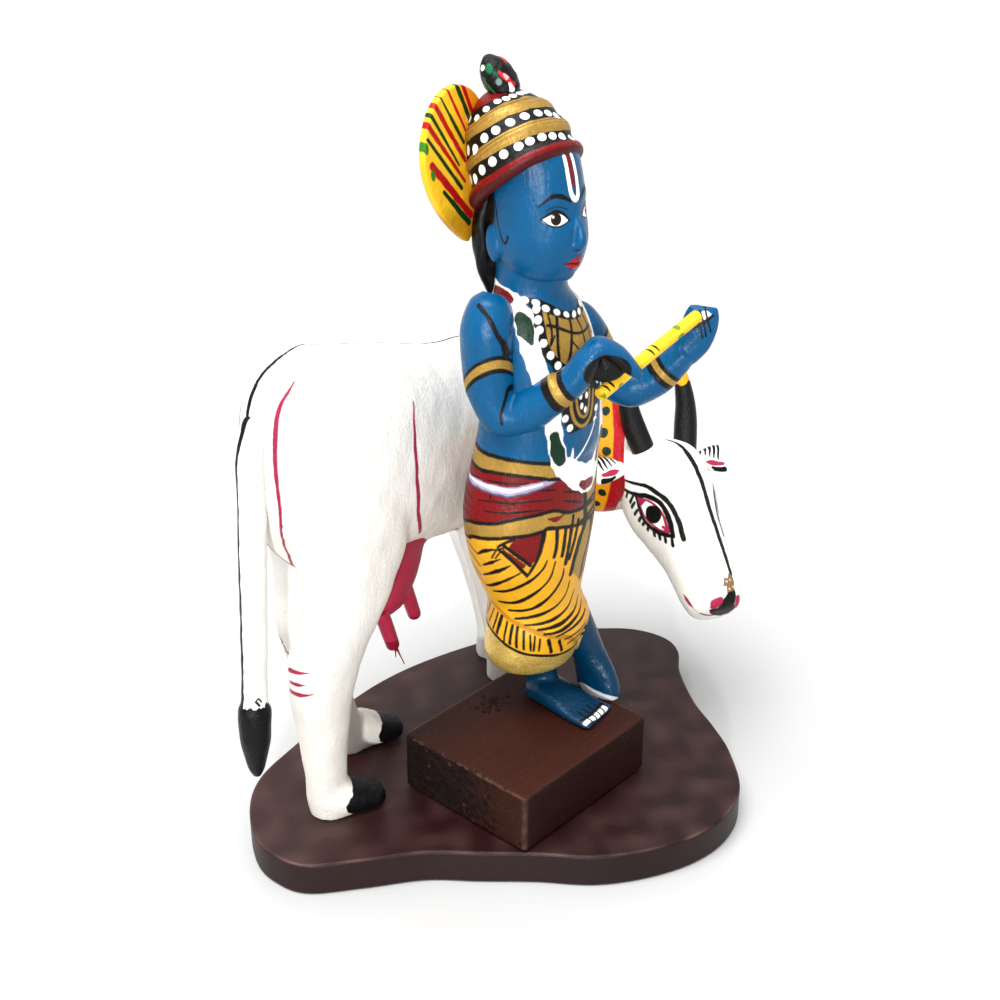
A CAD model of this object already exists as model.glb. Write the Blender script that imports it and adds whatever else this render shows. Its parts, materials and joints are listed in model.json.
import json
import math

import bpy
import numpy as np
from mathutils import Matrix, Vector

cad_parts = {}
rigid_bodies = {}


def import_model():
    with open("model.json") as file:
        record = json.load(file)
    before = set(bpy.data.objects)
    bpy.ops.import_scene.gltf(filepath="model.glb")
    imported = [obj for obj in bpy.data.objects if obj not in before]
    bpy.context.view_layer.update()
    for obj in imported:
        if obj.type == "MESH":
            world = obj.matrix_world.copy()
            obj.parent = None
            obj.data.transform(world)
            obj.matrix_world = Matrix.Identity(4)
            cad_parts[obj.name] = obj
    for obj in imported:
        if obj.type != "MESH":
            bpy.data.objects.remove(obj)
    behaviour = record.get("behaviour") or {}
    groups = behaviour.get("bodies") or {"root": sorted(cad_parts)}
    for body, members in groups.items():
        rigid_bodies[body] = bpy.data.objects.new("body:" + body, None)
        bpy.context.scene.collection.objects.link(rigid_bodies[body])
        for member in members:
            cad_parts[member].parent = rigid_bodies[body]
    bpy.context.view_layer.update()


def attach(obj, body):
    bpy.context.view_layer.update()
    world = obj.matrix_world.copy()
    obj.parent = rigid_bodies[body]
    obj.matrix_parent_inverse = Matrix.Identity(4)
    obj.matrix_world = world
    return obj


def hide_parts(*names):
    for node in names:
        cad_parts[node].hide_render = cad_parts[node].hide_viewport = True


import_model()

coarser = 1.0

# Places and scale, in millimetres
setup = {
    "figureStand": (2.0, 0.0, 25.3),
    "figureUnit": 1.56,  # one hundredth of the figure's height
    "cowStand": (-5.9, 33.496, 9.3),
    "cowHeading": 10.0,
    "paintDepth": 1.3,  # deepens every colour, and leaves white alone
    "brushLoad": 1.15,  # widens every brush stroke alike
    "edgeSoftness": 0.13,  # how far a painted edge fades
    "contrast": 0.14,  # an edge is split where the paint along it differs by more
    "bend": 0.1,  # how far a split point may leave its edge, as a share of the length
    "smoothing": (0.5, -0.52),  # one step inward and one back
}


def figurePlace(points):
    return np.asarray(points, float) * setup["figureUnit"] + setup["figureStand"]


def cowPlace(points):
    turn = math.radians(setup["cowHeading"])
    c, s = math.cos(turn), math.sin(turn)
    x, y, z = np.asarray(points, float).T
    return np.stack([x * c - y * s, x * s + y * c, z], 1) + setup["cowStand"]


def boardPlace(points):
    return np.asarray(points, float)


figureUnit = setup["figureUnit"]
onFigure, onCow, onBoard = (figurePlace, figureUnit), (cowPlace, 1.0), (boardPlace, 1.0)


# Smooth runs, lofts and unions

def curveAt(points, shares):
    points = np.asarray(points, float)
    last = len(points) - 1
    at = np.clip(shares, 0, 1) * last
    i = np.minimum(at.astype(int), last - 1)
    t = (at - i)[:, None]
    padded = np.vstack([2 * points[0] - points[1], points, 2 * points[-1] - points[-2]])
    a, b, c, d = padded[i], padded[i + 1], padded[i + 2], padded[i + 3]
    return b + 0.5 * t * ((c - a) + t * ((2 * a - 5 * b + 4 * c - d) + t * (3 * (b - c) + d - a)))


def unit(vectors):
    return vectors / np.maximum(np.linalg.norm(vectors, axis=-1, keepdims=True), 1e-12)


def level(centre, halfWidth, halfDepth, square=2.0):
    return centre, (halfWidth, 0, 0), (0, halfDepth, 0), square


def along(stops, flat, square=2.0):
    centres = np.array([stop[0] for stop in stops], float)
    shares = np.linspace(0, 1, len(stops))
    step = 1e-4
    run = unit(curveAt(centres, np.minimum(shares + step, 1)) - curveAt(centres, np.maximum(shares - step, 0)))
    flat = np.asarray(flat, float)
    deep = unit(flat - run * (run @ flat)[:, None])
    across = unit(np.cross(deep, run))
    return [(centres[i], across[i] * stops[i][1], deep[i] * stops[i][2], square) for i in range(len(stops))]


def loft(sections, sides=72, rows=120):
    sides, rows = int(sides / coarser), int(rows / coarser)
    shares = np.linspace(0, 1, rows)
    centre, across, deep = (curveAt([section[k] for section in sections], shares) for k in range(3))
    square = np.interp(shares, np.linspace(0, 1, len(sections)), [section[3] for section in sections])
    angle = np.arange(sides) * 2 * math.pi / sides
    c = np.sign(np.cos(angle)) * np.abs(np.cos(angle)) ** (2 / square[:, None])
    s = np.sign(np.sin(angle)) * np.abs(np.sin(angle)) ** (2 / square[:, None])
    rings = centre[:, None] + across[:, None] * c[..., None] + deep[:, None] * s[..., None]
    points = np.vstack([rings.reshape(-1, 3), centre[:1], centre[-1:]])
    row, side = np.meshgrid(np.arange(rows - 1), np.arange(sides), indexing="ij")
    a, b = row * sides + side, row * sides + (side + 1) % sides
    faces = [np.stack([a, b, b + sides], -1), np.stack([a, b + sides, a + sides], -1)]
    ring = np.arange(sides)
    following = (ring + 1) % sides
    first, last = np.full(sides, rows * sides), np.full(sides, rows * sides + 1)
    top = (rows - 1) * sides
    faces += [np.stack([first, following, ring], -1), np.stack([last, ring + top, following + top], -1)]
    return outward(points, np.concatenate([f.reshape(-1, 3) for f in faces]))


def outward(points, faces):
    a, b, c = (points[faces[:, k]] for k in range(3))
    volume = np.einsum("ij,ij->i", a, np.cross(b, c)).sum()
    return points, faces if volume > 0 else faces[:, ::-1]


def ball(centre, size, turn=(0, 0, 0), sides=48):
    rows = sides // 2
    lat = np.linspace(0, math.pi, rows + 1)[1:-1]
    lon = np.arange(sides) * 2 * math.pi / sides
    ring = np.stack([np.outer(np.sin(lat), np.cos(lon)), np.outer(np.sin(lat), np.sin(lon)),
        np.outer(np.cos(lat), np.ones(sides))], -1).reshape(-1, 3)
    points = np.vstack([ring, [(0, 0, 1), (0, 0, -1)]]) * size
    for axis, degrees in enumerate(turn):
        c, s = math.cos(math.radians(degrees)), math.sin(math.radians(degrees))
        j, k = (axis + 1) % 3, (axis + 2) % 3
        points[:, [j, k]] = np.stack([c * points[:, j] - s * points[:, k], s * points[:, j] + c * points[:, k]], 1)
    row, side = np.meshgrid(np.arange(rows - 2), np.arange(sides), indexing="ij")
    a, b = row * sides + side, row * sides + (side + 1) % sides
    ring = np.arange(sides)
    following, top = (ring + 1) % sides, (rows - 2) * sides
    count = (rows - 1) * sides
    faces = np.concatenate([np.stack(f, -1).reshape(-1, 3) for f in (
        (a, b, b + sides), (a, b + sides, a + sides), (np.full(sides, count), following, ring),
        (np.full(sides, count + 1), ring + top, following + top))])
    return outward(points + np.asarray(centre, float), faces)


def rawMesh(points, faces):
    mesh = bpy.data.meshes.new("raw")
    mesh.vertices.add(len(points))
    mesh.vertices.foreach_set("co", np.ascontiguousarray(points, np.float32).ravel())
    mesh.loops.add(faces.size)
    mesh.loops.foreach_set("vertex_index", np.ascontiguousarray(faces, np.int32).ravel())
    mesh.polygons.add(len(faces))
    mesh.polygons.foreach_set("loop_start", np.arange(len(faces), dtype=np.int32) * 3)
    mesh.update(calc_edges=True)
    mesh.validate()
    return mesh


def neighbourMean(points, faces):
    a = faces.ravel()
    b = np.roll(faces, -1, 1).ravel()
    count = np.bincount(a, minlength=len(points)) + np.bincount(b, minlength=len(points))
    total = np.stack([np.bincount(a, points[b, k], len(points)) + np.bincount(b, points[a, k],
        len(points)) for k in range(3)], 1)
    return total / np.maximum(count, 1)[:, None]


def melt(parts, voxel, passes=6, cutBelow=None):
    points = np.vstack([part[0] for part in parts])
    starts = np.cumsum([0] + [len(part[0]) for part in parts[:-1]])
    faces = np.vstack([part[1] + start for part, start in zip(parts, starts)])
    mesh = rawMesh(points, faces)
    thing = bpy.data.objects.new("raw", mesh)
    bpy.context.collection.objects.link(thing)
    change = thing.modifiers.new("melt", "REMESH")
    change.mode = "VOXEL"
    change.voxel_size = voxel * coarser
    whole = bpy.data.meshes.new_from_object(thing.evaluated_get(bpy.context.evaluated_depsgraph_get()))
    whole.calc_loop_triangles()
    points = np.empty(len(whole.vertices) * 3, np.float32)
    whole.vertices.foreach_get("co", points)
    points = points.reshape(-1, 3).astype(float)
    faces = np.empty(len(whole.loop_triangles) * 3, np.int32)
    whole.loop_triangles.foreach_get("vertices", faces)
    faces = faces.reshape(-1, 3)
    for each in (thing, mesh, whole):
        (bpy.data.objects if each is thing else bpy.data.meshes).remove(each)
    for i in range(passes):
        for share in setup["smoothing"]:
            points += share * (neighbourMean(points, faces) - points)
    if cutBelow is not None:
        points[:, 2] = np.maximum(points[:, 2], cutBelow)  # soles lie flat
    return outward(points, faces)


def pointNormals(points, faces):
    a, b, c = (points[faces[:, k]] for k in range(3))
    flat = np.cross(b - a, c - a)
    total = np.stack([sum(np.bincount(faces[:, k], flat[:, j], len(points)) for k in range(3)) for j in range(3)],
        1)
    return unit(total)


# Splits edges until painted borders are crisp, keeping the surface round
def refine(points, faces, look, scale, rounds, finest):
    normals = pointNormals(points, faces)
    values = look(points, normals)
    active = np.ones(len(faces), bool)
    finest = finest * coarser / scale
    for i in range(rounds):
        ends = np.sort(np.stack([faces, np.roll(faces, -1, 1)], -1).reshape(-1, 2), 1)
        edges, which = np.unique(ends, axis=0, return_inverse=True)
        which = which.reshape(-1, 3)
        a, b = edges.T
        span = points[b] - points[a]
        length = np.linalg.norm(span, axis=1)
        live = np.zeros(len(edges), bool)
        live[which[active].ravel()] = True
        live &= length > finest
        mark = np.zeros(len(edges), bool)
        k = np.flatnonzero(live)
        middle = (points[a[k]] + points[b[k]]) / 2
        bulge = np.einsum("ij,ij->i", normals[a[k]] - normals[b[k]], span[k]) / 8
        turned = unit(normals[a[k]] + normals[b[k]])
        reach = setup["bend"] * length
        middle -= turned * np.clip(bulge, -reach[k], reach[k])[:, None]
        there = look(middle, turned)
        first, second = values[a[k]], values[b[k]]
        differ = np.maximum(np.abs(first - there), np.abs(second - there)).max(1)
        mark[k] = differ > setup["contrast"]
        while True:
            crowd = mark[which].sum(1)
            more = which[crowd == 2].ravel()
            if mark[more].all():
                break
            mark[more] = True
        if not mark.any():
            break
        place = np.full(len(edges), -1)
        split = np.flatnonzero(mark)
        place[split] = len(points) + np.arange(len(split))
        newPoints = (points[a[split]] + points[b[split]]) / 2
        bend = np.einsum("ij,ij->i", normals[a[split]] - normals[b[split]], span[split]) / 8
        newNormals = unit(normals[a[split]] + normals[b[split]])
        newPoints -= newNormals * np.clip(bend, -reach[split], reach[split])[:, None]
        points = np.vstack([points, newPoints])
        normals = np.vstack([normals, newNormals])
        values = np.vstack([values, look(newPoints, newNormals)])
        m = place[which]
        crowd = (m >= 0).sum(1)
        kept, once, thrice = faces[crowd == 0], np.flatnonzero(crowd == 1), np.flatnonzero(crowd == 3)
        side = (m[once] >= 0).argmax(1)
        f = faces[once]
        first, second, third = (f[np.arange(len(f)), (side + j) % 3] for j in range(3))
        n = m[once, side]
        halves = np.concatenate([np.stack([first, n, third], 1), np.stack([n, second, third], 1)])
        f, n = faces[thrice], m[thrice]
        quarters = np.concatenate([
            np.stack([f[:, 0], n[:, 0], n[:, 2]], 1), np.stack([n[:, 0], f[:, 1], n[:, 1]], 1),
            np.stack([n[:, 2], n[:, 1], f[:, 2]], 1), n])
        faces = np.concatenate([kept, halves, quarters])
        active = np.zeros(len(faces), bool)
        active[len(kept):] = True
    return points, faces, normals, values


# Paint: colour, metal share, roughness and thickness of the coat

def tint(code, metal=0.0, rough=0.4, thick=0.0):
    channels = [int(code[i:i + 2], 16) / 255 for i in (1, 3, 5)]
    channels = [((c + 0.055) / 1.055) ** 2.4 if c > 0.04 else c / 12.92 for c in channels]
    return np.array([c ** setup["paintDepth"] for c in channels] + [metal, rough, thick])


paints = {
    "blue": tint("#04648c", 0, 0.2),
    "deepBlue": tint("#034460", 0, 0.24),
    "yellow": tint("#efc63c", 0, 0.34),
    "saffron": tint("#dcac33", 0, 0.34),
    "gold": tint("#b0924f", 0.38, 0.36, 0.3),
    "glitter": tint("#efd27c", 0.72, 0.3, 0.3),
    "red": tint("#82151a", 0, 0.3),
    "darkRed": tint("#82181f", 0, 0.32),
    "lipRed": tint("#b3202b", 0, 0.33),
    "green": tint("#123f2c", 0, 0.33),
    "white": tint("#f8f7f3", 0, 0.5, 0.5),
    "lavender": tint("#a99fb8", 0, 0.42, 0.5),
    "black": tint("#0b0b0e", 0, 0.34, 0.3),
    "ink": tint("#141416", 0, 0.4, 0.3),
    "hide": tint("#e9e7e2", 0, 0.56),
}
ink, white, gold, red = (paints[name] for name in ("ink", "white", "gold", "red"))


class Chart:  # two painting directions on a surface, with their scale in millimetres
    def __init__(self, u, v, uScale, vScale, wobble):
        self.u, self.v = u, v
        self.uScale = np.broadcast_to(uScale, u.shape).astype(float)
        self.vScale = np.broadcast_to(vScale, v.shape).astype(float)
        self.wobble = wobble


def ripple(points, pitch):
    x, y, z = (points / pitch).T
    return (np.sin(x * 2.1 + 1.3 * np.sin(y * 1.7 + z)) + np.sin(y * 2.7 + 1.1 * np.sin(z * 1.9 + 2 * x)) +
            np.sin(z * 2.3 + 1.2 * np.sin(x * 2.2 - y))) / 3


def farFrom(chart, path, closed=False, reach=1.5):
    path = np.asarray(path, float)
    low, high = path.min(0), path.max(0)
    near = (chart.v > low[1] - reach / chart.vScale) & (chart.v < high[1] + reach / chart.vScale)
    near &= (chart.u > low[0] - reach / chart.uScale) & (chart.u < high[0] + reach / chart.uScale)
    k = np.flatnonzero(near)
    u, v, us, vs = chart.u[k], chart.v[k], chart.uScale[k], chart.vScale[k]
    best, share = np.full(len(k), 99.0), np.zeros(len(k))
    inside = np.zeros(len(k), bool)
    ends = np.roll(path, -1, 0) if closed else path[1:]
    count = len(ends)
    for i, (p, q) in enumerate(zip(path, ends)):
        px, py, dx, dy = (p[0] - u) * us, (p[1] - v) * vs, (q[0] - p[0]) * us, (q[1] - p[1]) * vs
        t = np.clip(-(px * dx + py * dy) / (dx * dx + dy * dy + 1e-12), 0, 1)
        d = np.hypot(px + t * dx, py + t * dy)
        better = d < best
        best[better] = d[better]
        share[better] = (i + t[better]) / count
        if closed and p[1] != q[1]:
            cross = (p[1] > v) != (q[1] > v)
            inside ^= cross & (u < p[0] + (v - p[1]) * (q[0] - p[0]) / (q[1] - p[1]))
    return k, best, share, inside


def fade(depth):  # from bare to covered over a painted edge
    return depth / setup["edgeSoftness"] + 0.5


def coated(points, paint):
    return np.tile(paint, (len(points), 1))


def lay(look, k, cover, paint):
    cover = np.clip(cover, 0, 1)[:, None]
    look[k] += cover * (paint - look[k])


def wash(look, cover, paint):
    lay(look, np.arange(len(look)), cover, paint)


def smooth(path, steps=5):
    path = np.asarray(path, float)
    if len(path) < 3:
        return path
    return curveAt(path, np.linspace(0, 1, (len(path) - 1) * steps + 1))


def stroke(look, chart, path, width, paint, strength=1.0):
    widths = np.atleast_1d(width) * setup["brushLoad"]
    k, d, share, _ = farFrom(chart, smooth(path), reach=widths.max() / 2 + 0.5)
    half = np.interp(share, np.linspace(0, 1, len(widths)), widths) / 2
    half = half * (1 + 0.16 * chart.wobble[k])
    lay(look, k, fade(half - d) * strength, paint)


def patch(look, chart, outline, paint, strength=1.0, rounded=True):
    outline = np.asarray(outline, float)
    if rounded:
        outline = smooth(np.vstack([outline, outline[:1]]), 4)[:-1]
    k, d, _, inside = farFrom(chart, outline, closed=True)
    d = np.where(inside, d, -d) + 0.06 * chart.wobble[k]
    lay(look, k, fade(d) * strength, paint)


def dot(look, chart, centre, width, height, paint, turn=0.0, strength=1.0):
    reach = max(width, height)
    dx, dy = (chart.u - centre[0]) * chart.uScale, (chart.v - centre[1]) * chart.vScale
    k = np.flatnonzero((np.abs(dx) < reach) & (np.abs(dy) < reach))
    c, s = math.cos(math.radians(turn)), math.sin(math.radians(turn))
    x, y = dx[k] * c + dy[k] * s, -dx[k] * s + dy[k] * c
    q = np.hypot(x / (width / 2), y / (height / 2)) + 0.05 * chart.wobble[k]
    lay(look, k, fade((1 - q) * min(width, height) / 2) * strength, paint)


def band(look, chart, lower, upper, paint, strength=1.0):
    def heights(line):
        if np.isscalar(line):
            return np.full(chart.u.shape, float(line))
        line = np.asarray(line, float)
        return np.interp(chart.u, line[:, 0], line[:, 1])

    waver = 0.05 * chart.wobble
    low = (chart.v - heights(lower)) * chart.vScale + waver
    high = (heights(upper) - chart.v) * chart.vScale + waver
    wash(look, np.clip(fade(low), 0, 1) * np.clip(fade(high), 0, 1) * strength, paint)


def region(look, depth, paint):
    wash(look, fade(depth), paint)


# Materials

def link(tree, *pairs):
    for out, into in pairs:
        tree.links.new(out, into)


def paintMaterial(name, options):
    material = bpy.data.materials.new(name)
    material.use_nodes = True
    tree = material.node_tree
    nodes = tree.nodes
    shader = nodes["Principled BSDF"]
    where = nodes.new("ShaderNodeTexCoord")
    colour, finish = nodes.new("ShaderNodeAttribute"), nodes.new("ShaderNodeAttribute")
    colour.attribute_name, finish.attribute_name = "paint", "finish"
    parts = nodes.new("ShaderNodeSeparateXYZ")
    link(tree, (finish.outputs["Vector"], parts.inputs[0]))

    def noise(scale, detail=4.0, rough=0.55, stretch=(1, 1, 1)):
        mapping, texture = nodes.new("ShaderNodeMapping"), nodes.new("ShaderNodeTexNoise")
        mapping.inputs["Scale"].default_value = stretch
        texture.inputs["Scale"].default_value = scale
        texture.inputs["Detail"].default_value = detail
        texture.inputs["Roughness"].default_value = rough
        link(tree, (where.outputs["Object"], mapping.inputs[0]), (mapping.outputs[0], texture.inputs["Vector"]))
        return texture.outputs["Fac"]

    def spread(value, low, high, fromLow=0.25, fromHigh=0.75):
        node = nodes.new("ShaderNodeMapRange")
        for key, number in (("From Min", fromLow), ("From Max", fromHigh), ("To Min", low), ("To Max", high)):
            node.inputs[key].default_value = number
        link(tree, (value, node.inputs["Value"]))
        return node.outputs[0]

    def sums(kind, first, second):
        node = nodes.new("ShaderNodeMath")
        node.operation = kind
        for socket, value in zip(node.inputs, (first, second)):
            if isinstance(value, (int, float)):
                socket.default_value = value
            else:
                link(tree, (value, socket))
        return node.outputs[0]

    def mixed(share, base, code):
        node = nodes.new("ShaderNodeMix")
        node.data_type = "RGBA"
        node.inputs[7].default_value = (*tint(code)[:3], 1)
        link(tree, (share, node.inputs[0]), (base, node.inputs[6]))
        return node.outputs[2]

    streaks = noise(options["streakScale"], 5, 0.6, options["streakStretch"])
    mottle = noise(options["mottleScale"], 4, 0.55)
    grain = noise(options["grainScale"], 3, 0.6)
    shade = sums("MULTIPLY", spread(streaks, 1 - options["streakDepth"], 1 + options["streakDepth"]),
        spread(mottle, 1 - options["mottleDepth"], 1 + options["mottleDepth"]))
    base = colour.outputs["Color"]
    if options["speckAmount"] > 0:
        specks = spread(noise(options["speckScale"], 1, 0.3), 0, options["speckAmount"], options["speckFrom"],
            options["speckFrom"] + 0.08)
        base = mixed(sums("MULTIPLY", specks, spread(mottle, 0.1, 1, 0.45, 0.6)), base, options["speckColour"])
    # bronze powder catches the light in flecks
    flecks = spread(noise(options["glitterScale"], 2, 0.6), 0, options["glitterAmount"], 0.53, 0.66)
    flecks = sums("MULTIPLY", flecks, sums("POWER", parts.outputs["X"], options["glitterPower"]))
    base = mixed(flecks, base, options["glitterColour"])
    scaled = nodes.new("ShaderNodeVectorMath")
    scaled.operation = "SCALE"
    link(tree, (base, scaled.inputs[0]), (shade, scaled.inputs["Scale"]),
         (scaled.outputs[0], shader.inputs["Base Color"]), (parts.outputs["X"], shader.inputs["Metallic"]))
    rough = sums("ADD", parts.outputs["Y"], spread(grain, -options["roughDepth"], options["roughDepth"]))
    link(tree, (rough, shader.inputs["Roughness"]))
    height = sums("ADD", sums("MULTIPLY", parts.outputs["Z"], options["coat"]),
        sums("ADD", sums("MULTIPLY", grain, options["grainHeight"]),
        sums("ADD", sums("MULTIPLY", streaks, options["streakHeight"]),
        sums("MULTIPLY", mottle, options["mottleHeight"]))))
    bump = nodes.new("ShaderNodeBump")
    bump.inputs["Strength"].default_value = 1.0
    bump.inputs["Distance"].default_value = options["bumpDistance"]
    link(tree, (height, bump.inputs["Height"]), (bump.outputs[0], shader.inputs["Normal"]))
    shader.inputs["Specular IOR Level"].default_value = options["specular"]
    return material


enamel = {
    "streakScale": 900.0, "streakStretch": (1, 1, 0.55), "streakDepth": 0.07,
    "mottleScale": 160.0, "mottleDepth": 0.09, "grainScale": 2600.0, "roughDepth": 0.08,
    "coat": 0.05, "grainHeight": 0.03, "streakHeight": 0.22, "mottleHeight": 0.36, "specular": 0.2,
    "speckAmount": 0.0, "speckScale": 1700.0, "speckFrom": 0.6, "speckColour": "#a6cbe2",
    "glitterAmount": 1.0, "glitterScale": 1900.0, "glitterPower": 2.5, "glitterColour": "#fdf0b8",
    "bumpDistance": 0.001,  # in metres
}


def makePiece(name, points, faces, place, scale, look, material, nodes, slot, rounds=4, finest=0.17):
    points, faces, normals, values = refine(points, faces, look, scale, rounds, finest)
    placed = place(points) / 1000
    tips = unit(place(points + normals) - place(points))
    mesh = rawMesh(placed, faces)
    mesh.name = name
    colour = mesh.attributes.new("paint", "FLOAT_COLOR", "POINT")
    shades = np.hstack([values[:, :3], np.ones((len(values), 1))])
    colour.data.foreach_set("color", shades.astype(np.float32).ravel())
    finish = mesh.attributes.new("finish", "FLOAT_VECTOR", "POINT")
    finish.data.foreach_set("vector", np.ascontiguousarray(values[:, 3:6], np.float32).ravel())
    mesh.polygons.foreach_set("use_smooth", np.ones(len(faces), bool))
    mesh.normals_split_custom_set_from_vertices(tips.astype(np.float32))
    mesh.materials.append(material)
    thing = bpy.data.objects.new(name, mesh)
    bpy.context.collection.objects.link(thing)
    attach(thing, "root")
    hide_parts(*nodes)
    print(f"{name}: {len(faces)} triangles")


def figureChart(points):
    x, y, z = points.T
    reach = np.hypot(x, y)
    return Chart(np.degrees(np.arctan2(x, -y)), z, reach * figureUnit * math.pi / 180, figureUnit,
        ripple(points, 0.9))


# The figure's trunk, skirt and legs

trunk = {
    "rows": [(0.3, 0.1, 8.4, 6.0, 5.0), (0.2, 0.2, 9.1, 7.6, 6.2), (0.1, 0.3, 11.2, 8.4, 7.0),
        (0.5, -0.2, 14.4, 8.9, 7.4), (0.6, -0.4, 16.6, 9.1, 7.6), (0.4, -0.1, 18.8, 8.5, 7.0),
        (0.2, 0, 21, 8.3, 6.9), (-0.2, 0.2, 24.7, 9.4, 7.7), (-0.6, 0.3, 28.7, 10.6, 8.4),
        (-0.8, 0.2, 34, 11.6, 8.9), (-0.8, 0.2, 37.7, 11.8, 8.9), (-0.4, 0.1, 41.3, 11.6, 8.8),
        (0.2, -0.2, 46.1, 11, 8.5), (0.5, -0.5, 48.3, 10.8, 8.6), (0.6, -0.8, 52.9, 10.2, 8.3),
        (0.5, -1.1, 57.5, 9.6, 7.9), (0.3, -1.1, 62, 9.0, 7.2), (0.1, -0.6, 65.8, 8.7, 6.4),
        (-0.3, 0, 68.8, 7.8, 5.8), (-0.5, 0.4, 70.6, 6.4, 5.4), (-0.5, 0.6, 72, 5.6, 5.2),
        (-0.5, 0.6, 74.5, 5.3, 5.1), (-0.5, 0.4, 78, 5.3, 5.1)],
    "rightLeg": [((2.6, 0.6, 9), 2.6, 2.6), ((2.6, 0.5, 6.5), 2.5, 2.6), ((2.7, 0.4, 3.6), 2.5, 2.8),
        ((2.8, -0.2, 1.2), 2.7, 3.4), ((2.8, -0.4, -0.5), 2.8, 3.6)],
    "rightFoot": [((2.0, 1.4, 1.0), 2.3, 1.3), ((2.0, -1.5, 1.7), 2.9, 2.0), ((2.1, -5, 1.3), 3.3, 1.6),
        ((2.3, -8.6, 0.75), 3.7, 1.0), ((2.6, -11.6, 0.5), 3.8, 0.75), ((2.7, -12.3, 0.4), 3.5, 0.55)],
    "leftLeg": [((4.4, -1.2, 21), 3.2, 3.4), ((6.0, -2.2, 16), 3.2, 3.2), ((7.8, -3.4, 11), 2.9, 2.9),
        ((9.0, -4.4, 7), 2.5, 3.2), ((9.6, -5.6, 3.2), 2.4, 4.3), ((9.6, -6.4, 0.6), 2.4, 4.5),
        ((9.6, -6.5, -0.5), 2.3, 4.3)],
    "voxel": 0.385, "finest": 0.34, "garlandWidth": 4.2,
}
trunkSections = [level((x, y, z), w, d) for x, y, z, w, d in trunk["rows"]]
print("the figure's trunk")


def trunkDepth(points):  # how far outside the trunk's own skin, in millimetres
    x, y, z = points.T
    shares = np.linspace(0, 1, 300)
    centre, across, deep = (curveAt([section[k] for section in trunkSections], shares) for k in range(3))
    columns = (centre[:, 0], centre[:, 1], across[:, 0], deep[:, 1])
    cx, cy, w, d = (np.interp(z, centre[:, 2], column) for column in columns)
    q = np.hypot((x - cx) / w, (y - cy) / d)
    return (q - 1) * (w + d) / 2 * figureUnit


waist = {
    "top": [(-180, 48.2), (-115, 48.1), (-93.7, 48.2), (-80.5, 48.3), (-66.1, 48.2), (-51.3, 47.9), (-33.3, 47.4),
            (0, 46.8), (45, 47), (90, 47.8), (180, 48.2)],
    "low": [(-180, 45.3), (-102.7, 45.5), (-83.9, 45.9), (-65.5, 45.9), (-47.4, 45.4), (-30.8, 44.7), (0, 44.2),
            (45, 44.4), (90, 45), (180, 45.3)],
    "sash": [(-180, 36), (-115, 36.3), (-103.1, 37), (-87.9, 37.8), (-75.4, 38.4), (-63.8, 39.1), (-47.2, 39.5),
        (-30.8, 39.6), (-18, 38.7), (-4.8, 38.2), (15.5, 37.8), (40, 37.6), (90, 36.8), (180, 36)],
    "second": [(-180, 33.4), (-113.2, 33.7), (-97.2, 34.8), (-85.2, 35.4), (-68.3, 36.1), (-55.7, 36.3),
        (-42.3, 36.6), (-37.2, 36.9), (-26, 36.5), (-12, 36), (6, 35.4), (40, 35.1), (90, 34.2), (180, 33.4)],
    "hem": [(-180, 17), (-119.3, 16.8), (-95.2, 16.1), (-77.3, 14.8), (-57.8, 13.7), (-39, 13.1), (-15.3, 12.3),
            (4.7, 12), (25, 11.9), (46.6, 12.3), (70, 13.5), (110, 15.5), (180, 17)],
    "fold": [(-180, 22.5), (-110.2, 21.5), (-79.1, 19.3), (-59.5, 18.2), (-28.6, 16.3), (-6.9, 15.3), (10, 13.6),
        (25, 12.2), (46, 13), (70, 15.5), (110, 19), (180, 22.5)],
}
sashStrokes = [
    [(-135, 44.6), (-118.5, 43.7), (-96.2, 44.3)], [(-88.6, 44.5), (-73.6, 44.6), (-54.7, 44.7)],
    [(-120, 42.9), (-100.5, 42.6)], [(-125, 41.4), (-99.4, 40.9)],
    [(-94.3, 41.1), (-80.8, 41.6), (-67.7, 41.6), (-54.5, 41.8), (-33, 41.5)], [(-122, 39.9), (-100.1, 39.5)],
    [(-86.8, 39.9), (-71.9, 40.1), (-56, 40.3), (-42.5, 40.2)], [(-120, 38.3), (-102.2, 38.2)],
    [(-44.5, 43.3), (-29.6, 43)], [(-83.3, 42.6), (-83.3, 41.9)], [(-21, 42.3), (-8, 41.6), (6.5, 40.5)],
    [(-20.9, 40.8), (-4.9, 39.8), (9.1, 38.9)],
]
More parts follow.
